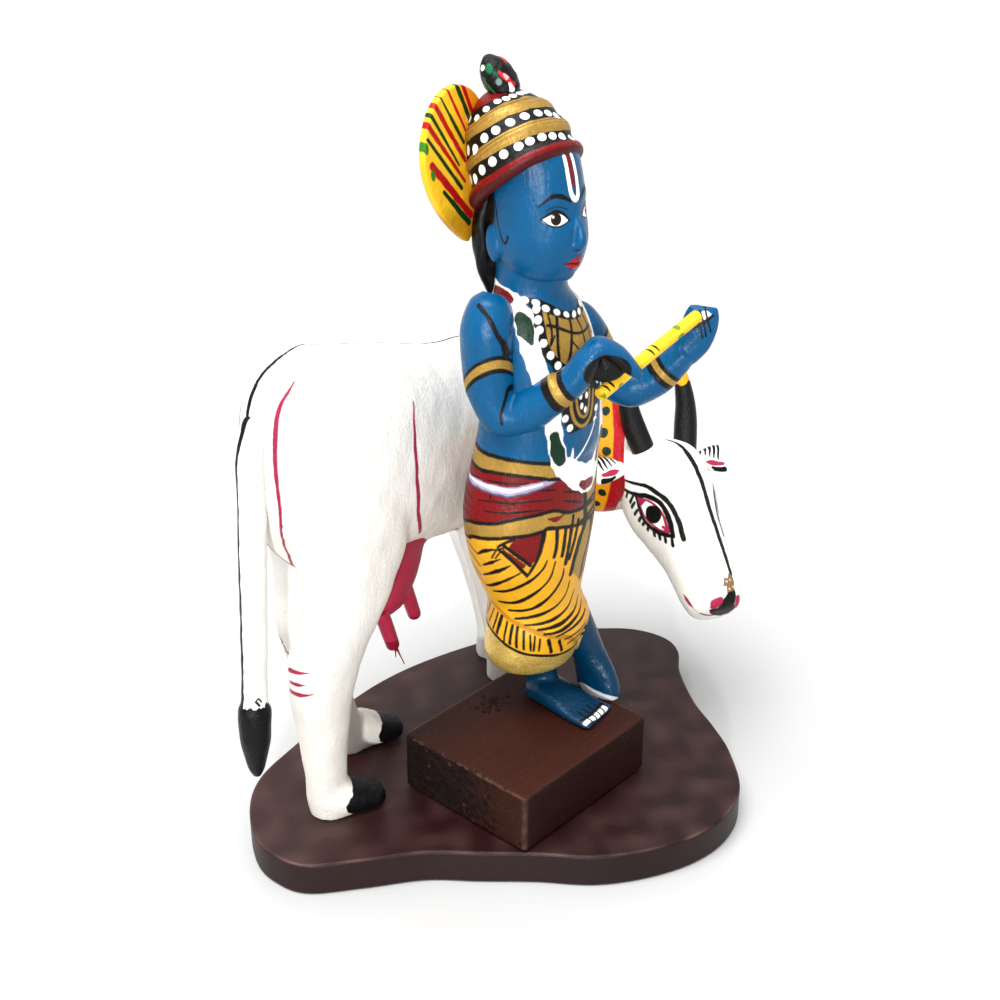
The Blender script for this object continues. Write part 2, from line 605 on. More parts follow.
skirtStrokes = [
    ([(-108.3, 33), (-94.3, 31.9)], 0.4), ([(-94.3, 31.9), (-86.6, 33.1), (-76.5, 33.9)], (0.4, 1.0, 0.3)),
    ([(-106.3, 31.3), (-94.4, 29.6)], 0.4), ([(-90.7, 30.1), (-74.9, 32.1)], (0.5, 0.9, 0.3)),
    ([(-108.6, 28.8), (-97.5, 27.5)], 0.4), ([(-93.7, 27.9), (-78.7, 29.6), (-67.8, 31)], (0.4, 1.1, 0.3)),
    ([(-106.1, 27.4), (-96.8, 25.4)], 0.4), ([(-96.8, 25.4), (-85.6, 26.4), (-60.5, 29.5)], (0.4, 0.9, 0.4)),
    ([(-88.9, 24.8), (-73.9, 25.6), (-60.3, 26.9), (-48.6, 28.3), (-39.9, 29.9), (-36.7, 31.2)],
        (0.5, 0.9, 0.7, 0.4)),
    ([(-87.2, 22.6), (-67.9, 23.2), (-53.1, 24.5), (-40, 26.1), (-31.6, 27.8), (-27.4, 30.5)],
        (0.6, 1.0, 0.6, 0.4)),
    ([(-76.8, 21.2), (-53.3, 21.7), (-37.2, 22.9), (-23.7, 24.8), (-15.7, 26.9), (-15, 28.6)],
        (0.6, 1.0, 0.7, 0.4)),
    ([(-69.9, 19.8), (-55.9, 20.1), (-36.4, 20.6), (-16.9, 21.5), (-4.9, 23.1), (-1.4, 25.4)],
        (0.6, 0.9, 0.6, 0.4)),
    ([(-58.4, 18.8), (-30.2, 19), (-8.3, 19.6), (6.8, 20.7), (13.2, 22.8)], (0.5, 0.9, 0.6, 0.4)),
    ([(-43.7, 18), (-24.8, 18), (-5.1, 18.3), (18.7, 19.2), (30.6, 20.8)], (0.5, 0.9, 0.7, 0.4)),
    ([(-35.9, 17.2), (-16.7, 17.1), (7.3, 17.7), (26.3, 18.3), (41.1, 19.2)], (0.5, 0.8, 0.5, 0.4)),
    ([(-22, 16.4), (-2.6, 16.7), (19.6, 17.1), (38, 17.6)], (0.4, 0.7, 0.4)),
    ([(-8.6, 15.2), (14.3, 15.3), (42, 15.6)], (0.4, 0.6, 0.4)), ([(-0.8, 13.9), (15.3, 14.1), (42, 14.2)], 0.5),
    ([(-71.6, 34.7), (-52.2, 30.9)], 0.9), ([(-76, 34.3), (-72.5, 34.9), (-66.7, 35.6), (-63.5, 36)], 0.7),
    ([(-75.6, 33.9), (-67.5, 32.2), (-56.1, 29.2)], 0.85),
    ([(-40.3, 36.6), (-42.1, 34.6), (-45.7, 32), (-51.3, 29.9), (-55.2, 28.7)], (1.2, 0.9, 0.7, 0.5)),
    ([(-81.7, 32), (-77.3, 33.6), (-71.8, 34.3)], 0.45), ([(-78.8, 32.1), (-74.4, 33.5)], 0.4),
]
fringeStrokes = [
    ([(-108.1, 20.8), (-117.3, 18.4)], 0.45), ([(-100, 20.3), (-108.7, 17.4)],
        0.4), ([(-93.1, 19.9), (-98.3, 16.9)], 0.55),
    ([(-87.2, 19.6), (-91.1, 16.6)], 0.9), ([(-79.4, 18.9), (-81.6, 15.6)], 0.55), ([(-72.8, 18.6), (-74.4, 15.4)],
        0.7),
    ([(-66.8, 18.4), (-67.3, 14.9)], 0.65), ([(-59.3, 17.8), (-59.1, 14.6)], 0.6), ([(-52.2, 17.2), (-51.4, 14.3)],
        0.55),
    ([(-47.1, 17), (-48.1, 14.3)], 0.5), ([(-41.2, 16.5), (-42.1, 14.2)], 0.5), ([(-31.5, 16.1), (-25.9, 13.4)],
        0.9),
    ([(-17.1, 15.4), (-9.3, 12.9)], 0.8),
]
pleatStrokes = [
    ([(12.5, 41), (14.5, 37.9), (14.7, 35.1), (6.9, 32.7), (0.7, 29.2), (-1.8, 26.8)], (1.5, 1.8, 1.6, 1.3)),
    ([(31.4, 35.2), (31.5, 30.9), (25, 27.9), (24, 24.8)], 1.2), ([(41, 41), (41, 35), (38, 30), (35, 25)], 1.1),
    ([(13, 38), (28, 38.4), (42, 38.7)], 1.0), ([(5.7, 35.7), (24, 36.1), (42, 36.4)], 1.0),
    ([(-27.3, 36.5), (-27.5, 33.2), (-29.3, 31.5)], 0.9), ([(-17.1, 36.1), (-19.4, 31.2)], 1.0),
    ([(-9.1, 36), (-13.2, 29.4)], 1.1), ([(1.5, 36.3), (-8.1, 30.1)], 1.1), ([(-6.5, 37.6), (-8.5, 35)], 0.8),
]
garlandPath = [(-180, 71.6), (-137, 72), (-103, 71.7), (-80, 70.7), (-66, 69.3), (-58, 66.9), (-53, 64.3),
    (-46, 61.6), (-38, 57.5), (-33.5, 55), (-31.5, 52), (-28, 49.4), (-24, 47), (-17, 45.4), (-9, 44.1), (0, 42.8),
    (12, 41.8), (24, 41.6), (34, 43.2), (39.3, 46), (41, 50), (43, 55), (48, 61), (56, 66.5), (68, 70), (95, 71.6),
    (180, 71.6)]
collarDots = [(-79.7, 72), (-66.3, 71.6), (-50.2, 71.2), (-35.4, 70.3), (-17.7, 69.5), (-0.4, 68.8), (16.3, 68.4),
    (31.4, 68.3), (47, 68.9), (62, 69.8), (77, 70.8)]
strandDots = [(-49.4, 70.4), (-47.2, 69), (-45.5, 67.6), (-41.2, 65.8), (-34.1, 64), (-26.6, 62.4), (-24.5, 60.6),
    (-24, 58.8), (-22.5, 57.2), (-20.3, 54.2), (-14.8, 52.5), (-5.8, 51), (4.3, 50.3), (15.5, 50.6), (21.5, 52),
    (24, 53.8), (26, 56), (28, 58), (31, 60), (36, 62), (42, 64), (48, 66), (52, 67.6)]
shoulderLine = [(-91.5, 72), (-85, 71.1), (-80.5, 69.9), (-76.5, 68.1), (-73.6, 66.6), (-72.4, 64.6)]


def bodyLook(points, normals):
    look = coated(points, paints["blue"])
    chart = figureChart(points)
    stroke(look, chart, shoulderLine, 0.7, ink)
    # the necklace, from its collar down to the pendant
    patch(look, chart, [(-82, 72.3), (-65.8, 72), (-44.4, 71.6), (-27, 70.8), (-16.6, 70.1), (-6.3, 69.5),
        (9.1, 69), (27, 68.9), (45, 69.5), (62, 70.5), (80, 71.6), (80, 70.6), (66, 69), (56, 66.4), (48, 64.2),
        (38, 62), (32, 60), (29, 57), (27, 55), (25.9, 53.4), (22.9, 51.2), (15.8, 49.9), (3.1, 49.6), (-10, 50.6),
        (-18.9, 52.2), (-22.8, 54.1), (-25, 57), (-27, 60), (-33.2, 62.3), (-43, 64.1), (-46.7, 66), (-50.8, 67.9),
        (-56, 70.1), (-62.2, 71.4)], ink, rounded=False)
    patch(look, chart, [(-41.2, 70.1), (-25.3, 69.2), (-15.5, 68.7), (1.4, 68), (23.4, 67.6), (40, 67.9), (50, 68),
        (50, 66.4), (42, 64.6), (34, 63), (20, 61.6), (0, 61.2), (-14, 62), (-19.3, 62.5), (-25.7, 63.3),
        (-30.8, 64.3), (-35.8, 65.7), (-37.7, 67.7)], gold, rounded=False)
    for path, wide in (([(-33.8, 70), (-32.2, 69), (-30.2, 66.9), (-33, 65.5)], 0.5),
            ([(-19.4, 69.3), (-21.8, 67.4), (-24.5, 64.8), (-24.4, 62.9)], 0.75),
            ([(3.1, 68.3), (1, 66.8), (-7, 64.3), (-14.5, 62.3)], 0.75),
            ([(17.6, 68), (20.3, 65.8), (14, 62)], 0.5), ([(36, 67.6), (35, 65.4), (28, 62.6)], 0.45),
            ([(-35.8, 68.1), (-22.5, 67.6), (-1, 66.3), (17.4, 65.7), (36.5, 65.8), (48, 66.2)], 0.6),
            ([(-27, 66.5), (-33, 65.3)], 0.4), ([(-2, 65), (6, 63.4)], 0.4)):
        stroke(look, chart, path, wide, ink)
    for path, wide in (([(-14.5, 57.5), (-13, 55), (-8, 53.1), (1, 52.1), (10, 52.6), (15, 54), (17.5, 57)], 0.75),
            ([(-8.3, 57.5), (-6, 55.2), (-1, 53.8), (5.8, 53.6), (9.5, 55), (11, 57.5)], 0.65)):
        stroke(look, chart, path, wide, gold)
    for centre in ((-0.5, 55.4), (4.6, 54.6), (-2, 57), (6.5, 56.8)):
        dot(look, chart, centre, 1.0, 1.6, white)
    for centre in collarDots:
        dot(look, chart, centre, 1.9, 1.25, white, -25 if centre[0] < 10 else 25)
    for centre in strandDots:
        dot(look, chart, centre, 1.75, 1.75, white)
    # waist bands, sash and skirt
    for name, paint in (("top", gold), ("low", red), ("sash", gold)):
        band(look, chart, -5, waist[name], paint)
    for path in sashStrokes:
        stroke(look, chart, path, (0.25, 0.55, 0.25), ink)
        if path[0][0] < -80:  # these come again on the far side
            stroke(look, chart, [(60 - u * 0.7, v) for u, v in path], (0.25, 0.55, 0.25), ink)
    swoosh = [(-122, 44.3), (-115, 43.3), (-95, 43.5), (-82.2, 43.5), (-68.2, 43.4), (-56.4, 43.8), (-42.6, 44.2),
        (-27.3, 44.7)]
    stroke(look, chart, [(u, v - 0.25) for u, v in swoosh], (0.5, 1.5, 1.8, 1.6, 0.6), tint("#5d6079", 0, 0.4, 0.4))
    stroke(look, chart, swoosh, (0.5, 1.5, 1.7, 1.6, 0.8), paints["lavender"])
    stroke(look, chart, [(u, v + 0.1) for u, v in swoosh[1:-1]], (0.2, 0.75, 0.7, 0.4), white, 0.6)
    stroke(look, chart, [(-37, 38.5), (-28.5, 38.1), (-20, 38.4)], (0.4, 1.3, 0.4), red)
    for name in ("second", "fold"):
        band(look, chart, -5, waist[name], paints["saffron"])
    stroke(look, chart, [(u, v + 0.35) for u, v in waist["fold"]], 1.1, tint("#b98a22", 0, 0.4), 0.6)
    for outline in ([(-68.6, 34.4), (-64.3, 35.8), (-41.3, 36.5), (-42.5, 34.3), (-45.7, 32), (-51.8, 30.8)],
            [(-72.5, 34.2), (-55.9, 31.1), (-56.8, 30.4), (-61.1, 30.6), (-70.7, 32.5), (-74, 33.4)]):
        patch(look, chart, outline, red, rounded=False)
    for path, wide in skirtStrokes + fringeStrokes:
        stroke(look, chart, path, wide, ink)
    for k in range(9):  # the far side of the skirt
        start = 52 + 3 * k
        rise = 16.5 + 1.9 * k
        stroke(look, chart, [(start, rise + 1), (start + 34, rise + 2.3), (start + 70, rise + 4.6),
            (start + 95, rise + 8)], (0.4, 0.9, 0.6, 0.4), ink)
        stroke(look, chart, [(-178 + 2 * k, rise + 3), (-158 + 2 * k, rise + 1.2), (-128 + k, rise + 1.5)],
               (0.4, 0.8, 0.4), ink)
    for k in range(22):
        u = 48 + 9.0 * k
        u = u if u < 180 else u - 360
        foot, fold = (np.interp(u, *np.array(waist[name]).T) for name in ("hem", "fold"))
        stroke(look, chart, [(u, foot + 0.8), (u, foot + 0.6 + 0.62 * (fold - foot))], 0.55, ink)
    patch(look, chart, [(14, 41.2), (42, 41.6), (41, 36), (37, 30), (33, 23.5), (22, 24), (1.5, 27), (4, 30),
        (9, 33), (16, 35.5), (16, 38)], gold, rounded=False)
    for path, wide in pleatStrokes:
        stroke(look, chart, path, wide, ink)
    for name, wide in (("top", 0.9), ("low", 0.8), ("sash", 0.85), ("second", 0.9)):
        stroke(look, chart, waist[name], wide, ink)
    band(look, chart, -5, waist["hem"], paints["glitter"])
    stroke(look, chart, waist["hem"], 0.8, ink)
    # the long garland over both shoulders
    patch(look, chart, [(-19, 51.5), (-17, 47), (-10, 45.4), (2, 43.6), (14, 42.6), (26, 42.4), (34, 44.5),
        (37, 50), (37, 52)], paints["blue"])
    for path, wide, strength in (
            ([(-15, 47.5), (-4, 45.8), (10, 44.4), (26, 44), (35, 46)], (0.8, 2.6, 3.2, 2.2), 0.65),
            ([(-12, 46), (-11, 49)], (1.4, 0.4), 0.55),
            ([(-8, 46.5), (2, 48), (16, 50.5), (24, 53)], (0.7, 0.45, 0.3), 0.7)):
        stroke(look, chart, path, wide, white, strength)
    wide = trunk["garlandWidth"] / setup["brushLoad"]
    stroke(look, chart, garlandPath, wide, white)
    for path, size, colour in (
            ([(-122, 71.8), (-104, 71.7), (-88, 71.3)], (2.2, 3.0, 2.2), "darkRed"),
            ([(-67, 69.3), (-60, 67.8), (-54, 66)], (2.4, 3.6, 1.2), "green"),
            ([(-31.5, 51.6), (-27.5, 49), (-24, 47.6)], (2.2, 3.3, 2.6), "green"),
            ([(5, 42.2), (14, 41.6), (26, 41.5)], (1.6, 2.6, 1.8), "red"),
            ([(38, 44.8), (40.6, 48.6)], (2.2, 3.0), "green"), ([(45, 52), (46, 57)], (0.7, 1.2), "darkRed"),
            ([(66, 69.8), (82, 71)], (2.0, 2.4), "green"), ([(110, 71.6), (130, 71.7)], (2.4, 2.8), "darkRed"),
            ([(160, 71.7), (176, 71.7)], (2.2, 2.6), "green")):
        stroke(look, chart, path, size, paints[colour])
    stroke(look, chart, [(58, 69.2), (70, 71.3), (95, 73)], (0.5, 0.9, 0.6), paints["darkRed"])
    legs = np.maximum(trunkDepth(points) - 0.7, (8.9 - points[:, 2]) * figureUnit)
    region(look, legs, paints["deepBlue"])
    return look


def addFeet(look, points, normals):
    use = (points[:, 2] < 3.0) & (normals[:, 2] > 0.25)
    flat = Chart(np.where(use, points[:, 0], 99.0), points[:, 1], figureUnit, figureUnit, ripple(points, 0.9))
    patch(look, flat, [(-0.9, -12.3), (-1, -11.6), (1.5, -11.6), (4.9, -11.0), (5.2, -11.9), (2.5, -12.5)], white,
          rounded=False)
    stroke(look, flat, [(-1.3, -11), (0.6, -11.35), (2.8, -11.15), (5.3, -10.6)], (0.5, 0.9, 0.9), ink)
    for x in (0.2, 1.4, 2.6, 3.8):
        stroke(look, flat, [(x + 0.1, -9.6), (x, -10.4), (x + 0.1, -11), (x + 0.25, -12.8)], 0.45, ink)
    inner = (points[:, 0] > 6.4) & (points[:, 0] < 9.2) & (normals[:, 0] < 0.2)
    side = Chart(np.where(inner, points[:, 1], 99.0), points[:, 2], figureUnit, figureUnit, ripple(points, 0.9))
    patch(look, side, [(-3.2, 0.7), (-4.8, 1.5), (-7.7, 1.5), (-10.3, 1.0), (-10.6, 0.2), (-7.7, 0.1), (-4.8, 0.1)],
          tint("#c9ccd0", 0, 0.45, 0.4))
    return look


def bodyAndFeet(points, normals):
    return addFeet(bodyLook(points, normals), points, normals)


bodyParts = [
    loft(trunkSections, 120, 260),
    loft(along(trunk["rightLeg"], (0, 1, 0)), 60, 60), loft(along(trunk["rightFoot"], (0, 0, 1), 2.8), 72, 60),
    loft(along(trunk["leftLeg"], (0.1, 1, 0)), 72, 80)]
enamelMaterial = paintMaterial("blue_paint", enamel)
body = melt(bodyParts, trunk["voxel"], cutBelow=0.0)
makePiece("krishna_trunk", *body, *onFigure, bodyAndFeet, enamelMaterial, ["krishna_figure"], "blue_paint",
    finest=trunk["finest"])

# Strokes and patches on any skin, given in space

def wire(look, points, normals, path, width, paint, scale, strength=1.0, near=2.2):
    path = smooth(path)
    widths = np.atleast_1d(width)
    reach = (widths.max() / 2 + near) / scale
    k = np.flatnonzero(((points > path.min(0) - reach) & (points < path.max(0) + reach)).all(1))
    p, n = points[k], normals[k]
    best, share, off = np.full(len(k), 99.0), np.zeros(len(k)), np.full(len(k), 99.0)
    for i, (a, b) in enumerate(zip(path[:-1], path[1:])):
        step = b - a
        t = np.clip(((p - a) @ step) / (step @ step + 1e-12), 0, 1)
        gap = p - (a + t[:, None] * step)
        d = np.linalg.norm(gap, axis=1)
        better = d < best
        lift = np.einsum("ij,ij->i", gap, n)
        best[better] = d[better]
        off[better] = np.sqrt(np.maximum(d ** 2 - lift ** 2, 0))[better]
        share[better] = (i + t[better]) / (len(path) - 1)
    off = np.where(best < near / scale, off, 99.0) * scale
    half = np.interp(share, np.linspace(0, 1, len(widths)), widths) / 2
    half = half * (1 + 0.16 * ripple(p, 1.4 / scale))
    lay(look, k, fade(half - off) * strength, paint)


def planeChart(points, normals, origin, uWay, vWay, facing, scale, least=0.15):
    uWay, vWay, facing = unit(np.array(uWay, float)), unit(np.array(vWay, float)), unit(np.array(facing, float))
    seen = normals @ facing > least
    gap = points - origin
    return Chart(np.where(seen, gap @ uWay, 999.0), gap @ vWay, scale, scale, ripple(points, 1.4 / scale))


def sculpt(points, normals, bumps):  # each bump is centre, half sizes and height
    rise = np.zeros(len(points))
    for centre, size, height in bumps:
        q = (((points - centre) / size) ** 2).sum(1)
        rise += height * np.exp(-q)
    return points + normals * rise[:, None]


# Arms

rightArm = {
    "arm": [((-8.4, 0.9, 72.6), 1.6, 1.6), ((-9, 0.8, 71.2), 3.1, 3.3), ((-9.8, 0.8, 67.6), 3.9, 4.1),
            ((-10, 0.6, 63), 3.8, 4.0), ((-9.7, 0, 58.2), 3.6, 3.7), ((-8.9, -1.8, 54.8), 3.5, 3.4),
            ((-7.4, -4.6, 55.7), 3.2, 3.1), ((-6.0, -7.2, 57.8), 2.9, 2.9), ((-5.0, -9.4, 60), 2.6, 2.8)],
    "hand": [((-5.2, -8.8, 59.3), 2.5, 2.7), ((-4.0, -10.8, 61.4), 2.3, 2.6), ((-2.7, -12.1, 64.4), 1.9, 2.4),
        ((-1.4, -13, 66.2), 1.4, 2.2), ((0.2, -14.7, 65.2), 1.3, 2.0), ((1.7, -16.4, 63), 1.1, 1.8),
        ((2.7, -17.5, 61.6), 0.6, 1.2)],
    "palm": ((-0.5, -13.5, 63.0), (3.2, 0.7, 2.5), (0, 0, -44)),
    "band": (36.5, 37.0, 37.9, 38.35),  # edges up the arm, along bandWay
    "bandWay": (0.34, 0.65, 0.68),
    "cuff": (37.8, 39.1, 40.4, 41.3),
    "cuffWay": (0.36, -0.73, 0.58),
    "elbow": [(-9, -3.2, 59.6), (-10, -3.4, 59.6), (-10.5, -3.4, 58.6), (-11.2, -3.4, 57), (-11.7, -3.5, 56),
        (-11.5, -3.6, 54.7)],
    "voxel": 0.3,
}
leftArm = {
    "arm": [((5.4, -1.6, 67), 1.4, 1.4), ((6.6, -1.8, 65.8), 2.8, 2.9), ((8.4, -2.2, 62.8), 3.5, 3.8),
            ((10.2, -2.8, 59.4), 3.5, 3.7), ((12.6, -4.4, 55), 3.3, 3.5), ((14.8, -6.8, 53.2), 3.2, 3.2),
            ((16.8, -9.6, 54.8), 2.9, 3.0), ((18.4, -12, 57.6), 2.5, 2.7), ((19.4, -13.4, 59.6), 2.0, 2.4)],
    "hand": [((19, -13.2, 58.8), 1.7, 2.2), ((19.9, -14.2, 61), 1.5, 2.7), ((20.4, -14.8, 63.2), 1.4, 2.8),
        ((20.6, -15.2, 65.4), 1.0, 2.6), ((20.6, -15.4, 66.8), 0.5, 2.1)],
    "band": (44.7, 45.5, 47.9, 48.6),
    "bandWay": (-0.46, 0.24, 0.857),
    "cuff": (52.4, 53.3, 54.2, 54.9),
    "cuffWay": (0.39, -0.57, 0.72),
    "voxel": 0.3,
}
print("arms")


def rings(look, points, way, edges, only):  # a gold ring between two black lines
    height = points @ unit(np.array(way, float)) * figureUnit
    waver = 0.05 * ripple(points, 0.9)
    a, b, c, d = (edge * figureUnit for edge in edges)
    k = np.flatnonzero(only)
    h = height[k] + waver[k]
    lay(look, k, fade(np.minimum(h - a, d - h)), ink)
    lay(look, k, fade(np.minimum(h - b, c - h)), gold)


def rightArmLook(points, normals):
    look = coated(points, paints["blue"])
    rings(look, points, rightArm["bandWay"], rightArm["band"], points[:, 1] > -5.5)
    rings(look, points, rightArm["cuffWay"], rightArm["cuff"], points[:, 2] < 65)
    chart = figureChart(points)
    stroke(look, chart, shoulderLine, 0.7, ink)
    wire(look, points, normals, rightArm["elbow"], (1.5, 1.1, 0.8, 0.8, 0.6), ink, figureUnit)
    # the hollow of the hand is black
    gap = points - rightArm["palm"][0]
    hollow = 1 - np.hypot(gap @ np.array([0.72, -0.69, 0]) / 3.5, gap[:, 2] / 2.6)
    region(look, np.where(points[:, 2] < 66, hollow, -1) * 4, ink)
    return look


def leftArmLook(points, normals):
    look = coated(points, paints["blue"])
    rings(look, points, leftArm["bandWay"], leftArm["band"], points[:, 1] > -8.2)
    rings(look, points, leftArm["cuffWay"], leftArm["cuff"], points[:, 1] < -7)
    chart = planeChart(points, normals, (0, 0, 0), (0.6, -0.8, 0), (0, 0, 1), (-0.8, -0.6, 0.1), figureUnit)
    patch(look, chart, [(22.7, 64.7), (22.9, 65.4), (24.9, 66.5), (25.9, 65.8), (24.9, 65.1), (23.9, 64.5)], white,
          rounded=False)
    for path in ([(23.4, 65.8), (24.2, 64.1), (24.7, 62.2)], [(24.1, 66.3), (24.8, 64.3), (25.2, 62.5)],
            [(24.8, 66.7), (25.4, 64.7), (25.9, 63.1)]):
        stroke(look, chart, path, 0.45, ink)
    stroke(look, chart, [(22.7, 63.5), (24.3, 64.3), (26.1, 65.6)], (0.5, 0.8, 0.6), ink)
    return look


arm = melt([loft(along(rightArm["arm"], (0.5, 0.5, -0.1)), 72, 140),
    loft(along(rightArm["hand"], (0.75, 0.67, 0)), 60, 90), ball(*rightArm["palm"])], rightArm["voxel"])
makePiece("krishna_right_arm_painted", *arm, *onFigure, rightArmLook, enamelMaterial, ["krishna_right_arm"],
    "blue_paint")
arm = melt([loft(along(leftArm["arm"], (0.5, 0.5, -0.1)), 72, 140),
    loft(along(leftArm["hand"], (0.6, -0.8, 0)), 60, 80)], leftArm["voxel"])
makePiece("krishna_left_arm_painted", *arm, *onFigure, leftArmLook, enamelMaterial, ["krishna_left_arm"],
    "blue_paint")

# Flute

flute = {"start": (-1.6, -13.4, 58.8), "way": (0.955, -0.07, 0.3), "length": 22.4, "radius": 1.026,
    "marks": (1.2, 2.2, 11.1, 12.2), "shape": [(0, 0.86), (0.012, 0.99), (0.1, 1.0), (0.3, 0.97), (0.5, 1.0),
    (0.7, 0.97), (0.9, 1.0), (0.99, 0.97), (1, 0.9)]}
fluteWay = unit(np.array(flute["way"]))
fluteNear = unit(np.cross(fluteWay, np.cross(np.array([-0.67, -0.6, 0.45]), fluteWay)))  # to the front left


def fluteLook(points, normals):
    look = coated(points, paints["yellow"])
    gap = points - flute["start"]
    s = gap @ fluteWay
    turn = np.degrees(np.arctan2(gap @ np.cross(fluteWay, fluteNear), gap @ fluteNear))
    chart = Chart(turn, s, 1.6 * math.pi / 180, figureUnit, ripple(points, 0.9))
    for mark in flute["marks"]:
        stroke(look, chart, [(-62, mark - 0.12), (-20, mark), (28, mark + 0.15)], (0.25, 0.6, 0.3), ink)
        stroke(look, chart, [(120, mark), (165, mark + 0.1)], (0.25, 0.6, 0.3), ink)
    for centre, size in (((-40, 17.5), (2.4, 1.6)), ((60, 17.3), (1.6, 2.4)), ((62, 3.6), (1.4, 1.8)),
            ((-70, 0.4), (1.6, 0.9)), ((40, 0.2), (2.0, 0.8)), ((150, 0.5), (1.6, 1.0))):
        dot(look, chart, centre, size[0], size[1], tint("#7f9a2a", 0, 0.36), strength=0.75)
    return look


stops = [(np.array(flute["start"]) + fluteWay * flute["length"] * t, flute["radius"] * w, flute["radius"] * w)
    for t, w in flute["shape"]]
makePiece("flute_painted", *melt([loft(along(stops, (0, 1, 0)), 64, 240)], 0.24, 3), *onFigure, fluteLook,
    paintMaterial("yellow_paint", {**enamel, "streakStretch": (0.25, 1, 1)}), ["flute"], "yellow_paint")

# Head, face and hair

head = {
    "rows": [(-0.4, -1.6, 73.8, 2.6, 2.8), (-0.5, -1.3, 74.6, 4.4, 4.9), (-0.5, -0.9, 76.4, 5.7, 6.5),
        (-0.5, -0.6, 79, 6.4, 7.3), (-0.5, -0.4, 82.5, 6.6, 7.5), (-0.5, -0.1, 86, 6.6, 7.3),
        (-0.5, 0.2, 89.5, 6.4, 6.9), (-0.5, 0.7, 92.3, 6.0, 6.4), (-0.5, 1.6, 94.6, 5.0, 5.2),
        (-0.5, 2.2, 96, 3, 3.2)],
    "nose": [((-0.5, -7.0, 84.6), 0.3, 0.3), ((-0.5, -7.9, 82.8), 0.55, 0.7), ((-0.5, -8.4, 80.7), 0.8, 0.95),
        ((-0.5, -8.1, 79.7), 0.95, 0.85), ((-0.5, -7.3, 79.1), 0.5, 0.4)],
    "eyeTurn": 27.0,  # degrees to each side
    "eyeHeight": 83.9,
    "browHeight": 86.3,
    "voxel": 0.24,
}
print("head")


def headLook(points, normals):
    look = coated(points, paints["blue"])
    x, y = points[:, 0] + 0.5, points[:, 1] + 0.4
    chart = Chart(np.degrees(np.arctan2(x, -y)), points[:, 2], np.hypot(x, y) * figureUnit * math.pi / 180,
        figureUnit, 0.4 * ripple(points, 0.9))
    e, h = head["eyeTurn"], head["eyeHeight"]
    for side in (-1, 1):
        turned = lambda path: [(side * u, v) for u, v in path]
        outline = turned([(e - 15, h - 0.35), (e - 9, h + 0.55), (e, h + 0.95), (e + 9, h + 0.6), (e + 17, h - 0.1),
            (e + 9, h - 0.75), (e, h - 1.0), (e - 9, h - 0.8)])
        patch(look, chart, outline, white)
        dot(look, chart, (side * (e + 0.5), h), 2.5, 2.7, tint("#3a1a12", 0, 0.25))
        dot(look, chart, (side * (e + 0.5), h), 1.5, 1.6, ink)
        dot(look, chart, (side * (e + 0.5) - 3.5, h + 0.35), 0.55, 0.55, white)
        stroke(look, chart, turned([(e - 16, h - 0.4), (e - 9, h + 0.6), (e, h + 1.05), (e + 9, h + 0.7),
            (e + 19, h)]), (0.35, 0.65, 0.75, 0.6, 0.3), ink)
        stroke(look, chart, turned([(e - 15, h - 0.4), (e - 8, h - 0.85), (e, h - 1.05), (e + 9, h - 0.75),
            (e + 17, h)]), (0.25, 0.35, 0.25), ink)
        stroke(look, chart, turned([(e - 14, h + 1.2), (e, h + 1.75), (e + 13, h + 1.25)]), 0.25, ink, 0.7)
        b = head["browHeight"]
        stroke(look, chart, turned([(e - 19, b - 0.2), (e - 7, b + 0.65), (e + 6, b + 0.7), (e + 21, b - 0.6)]),
               (0.5, 1.0, 0.8, 0.3), ink)
        # the curl and lines before and on the ear, and the dark lock behind it
        stroke(look, chart, turned([(110, 85.5), (105, 82.6), (99, 80.6), (94, 79.8), (90, 80.2), (87.5, 81)]),
               (0.35, 0.4, 0.55, 0.5), ink)
        patch(look, chart, turned([(112, 87), (112, 83), (122, 81.6), (134, 81), (150, 80), (170, 80), (170, 90),
            (112, 90)]), tint("#1c1311", 0, 0.4))
        stroke(look, chart, turned([(133, 81), (124, 78.2), (117, 75.6)]), (0.7, 1.3, 1.0), ink)
        stroke(look, chart, turned([(138, 78), (136, 76.6), (132, 75)]), 0.4, ink)
    for u in (-3.2, 3.2):
        dot(look, chart, (u, 79.25), 0.7, 0.5, tint("#0d3a5c", 0, 0.4))
    patch(look, chart, [(-15, 77.2), (-8, 77.75), (-2.5, 78.0), (0, 77.8), (2.5, 78.0), (8, 77.75), (15, 77.2),
        (8, 76.5), (0, 76.2), (-8, 76.5)], paints["lipRed"])
    stroke(look, chart, [(-17, 77.25), (-8, 77.2), (0, 77.05), (8, 77.2), (17, 77.25)], (0.2, 0.35, 0.4, 0.35, 0.2),
           tint("#4a0d14", 0, 0.4))
    # the mark on the brow: a white U around a red drop
    stroke(look, chart, [(-8, 92), (-7.5, 89), (-5.5, 86.9), (0, 86.2), (5.5, 86.9), (7.5, 89), (8, 92)],
           (0.8, 0.9, 1.0, 1.1, 1.0, 0.9, 0.8), white)
    stroke(look, chart, [(0, 92), (0, 89.5), (0, 87.8)], (1.2, 1.1, 0.6), red)
    return look


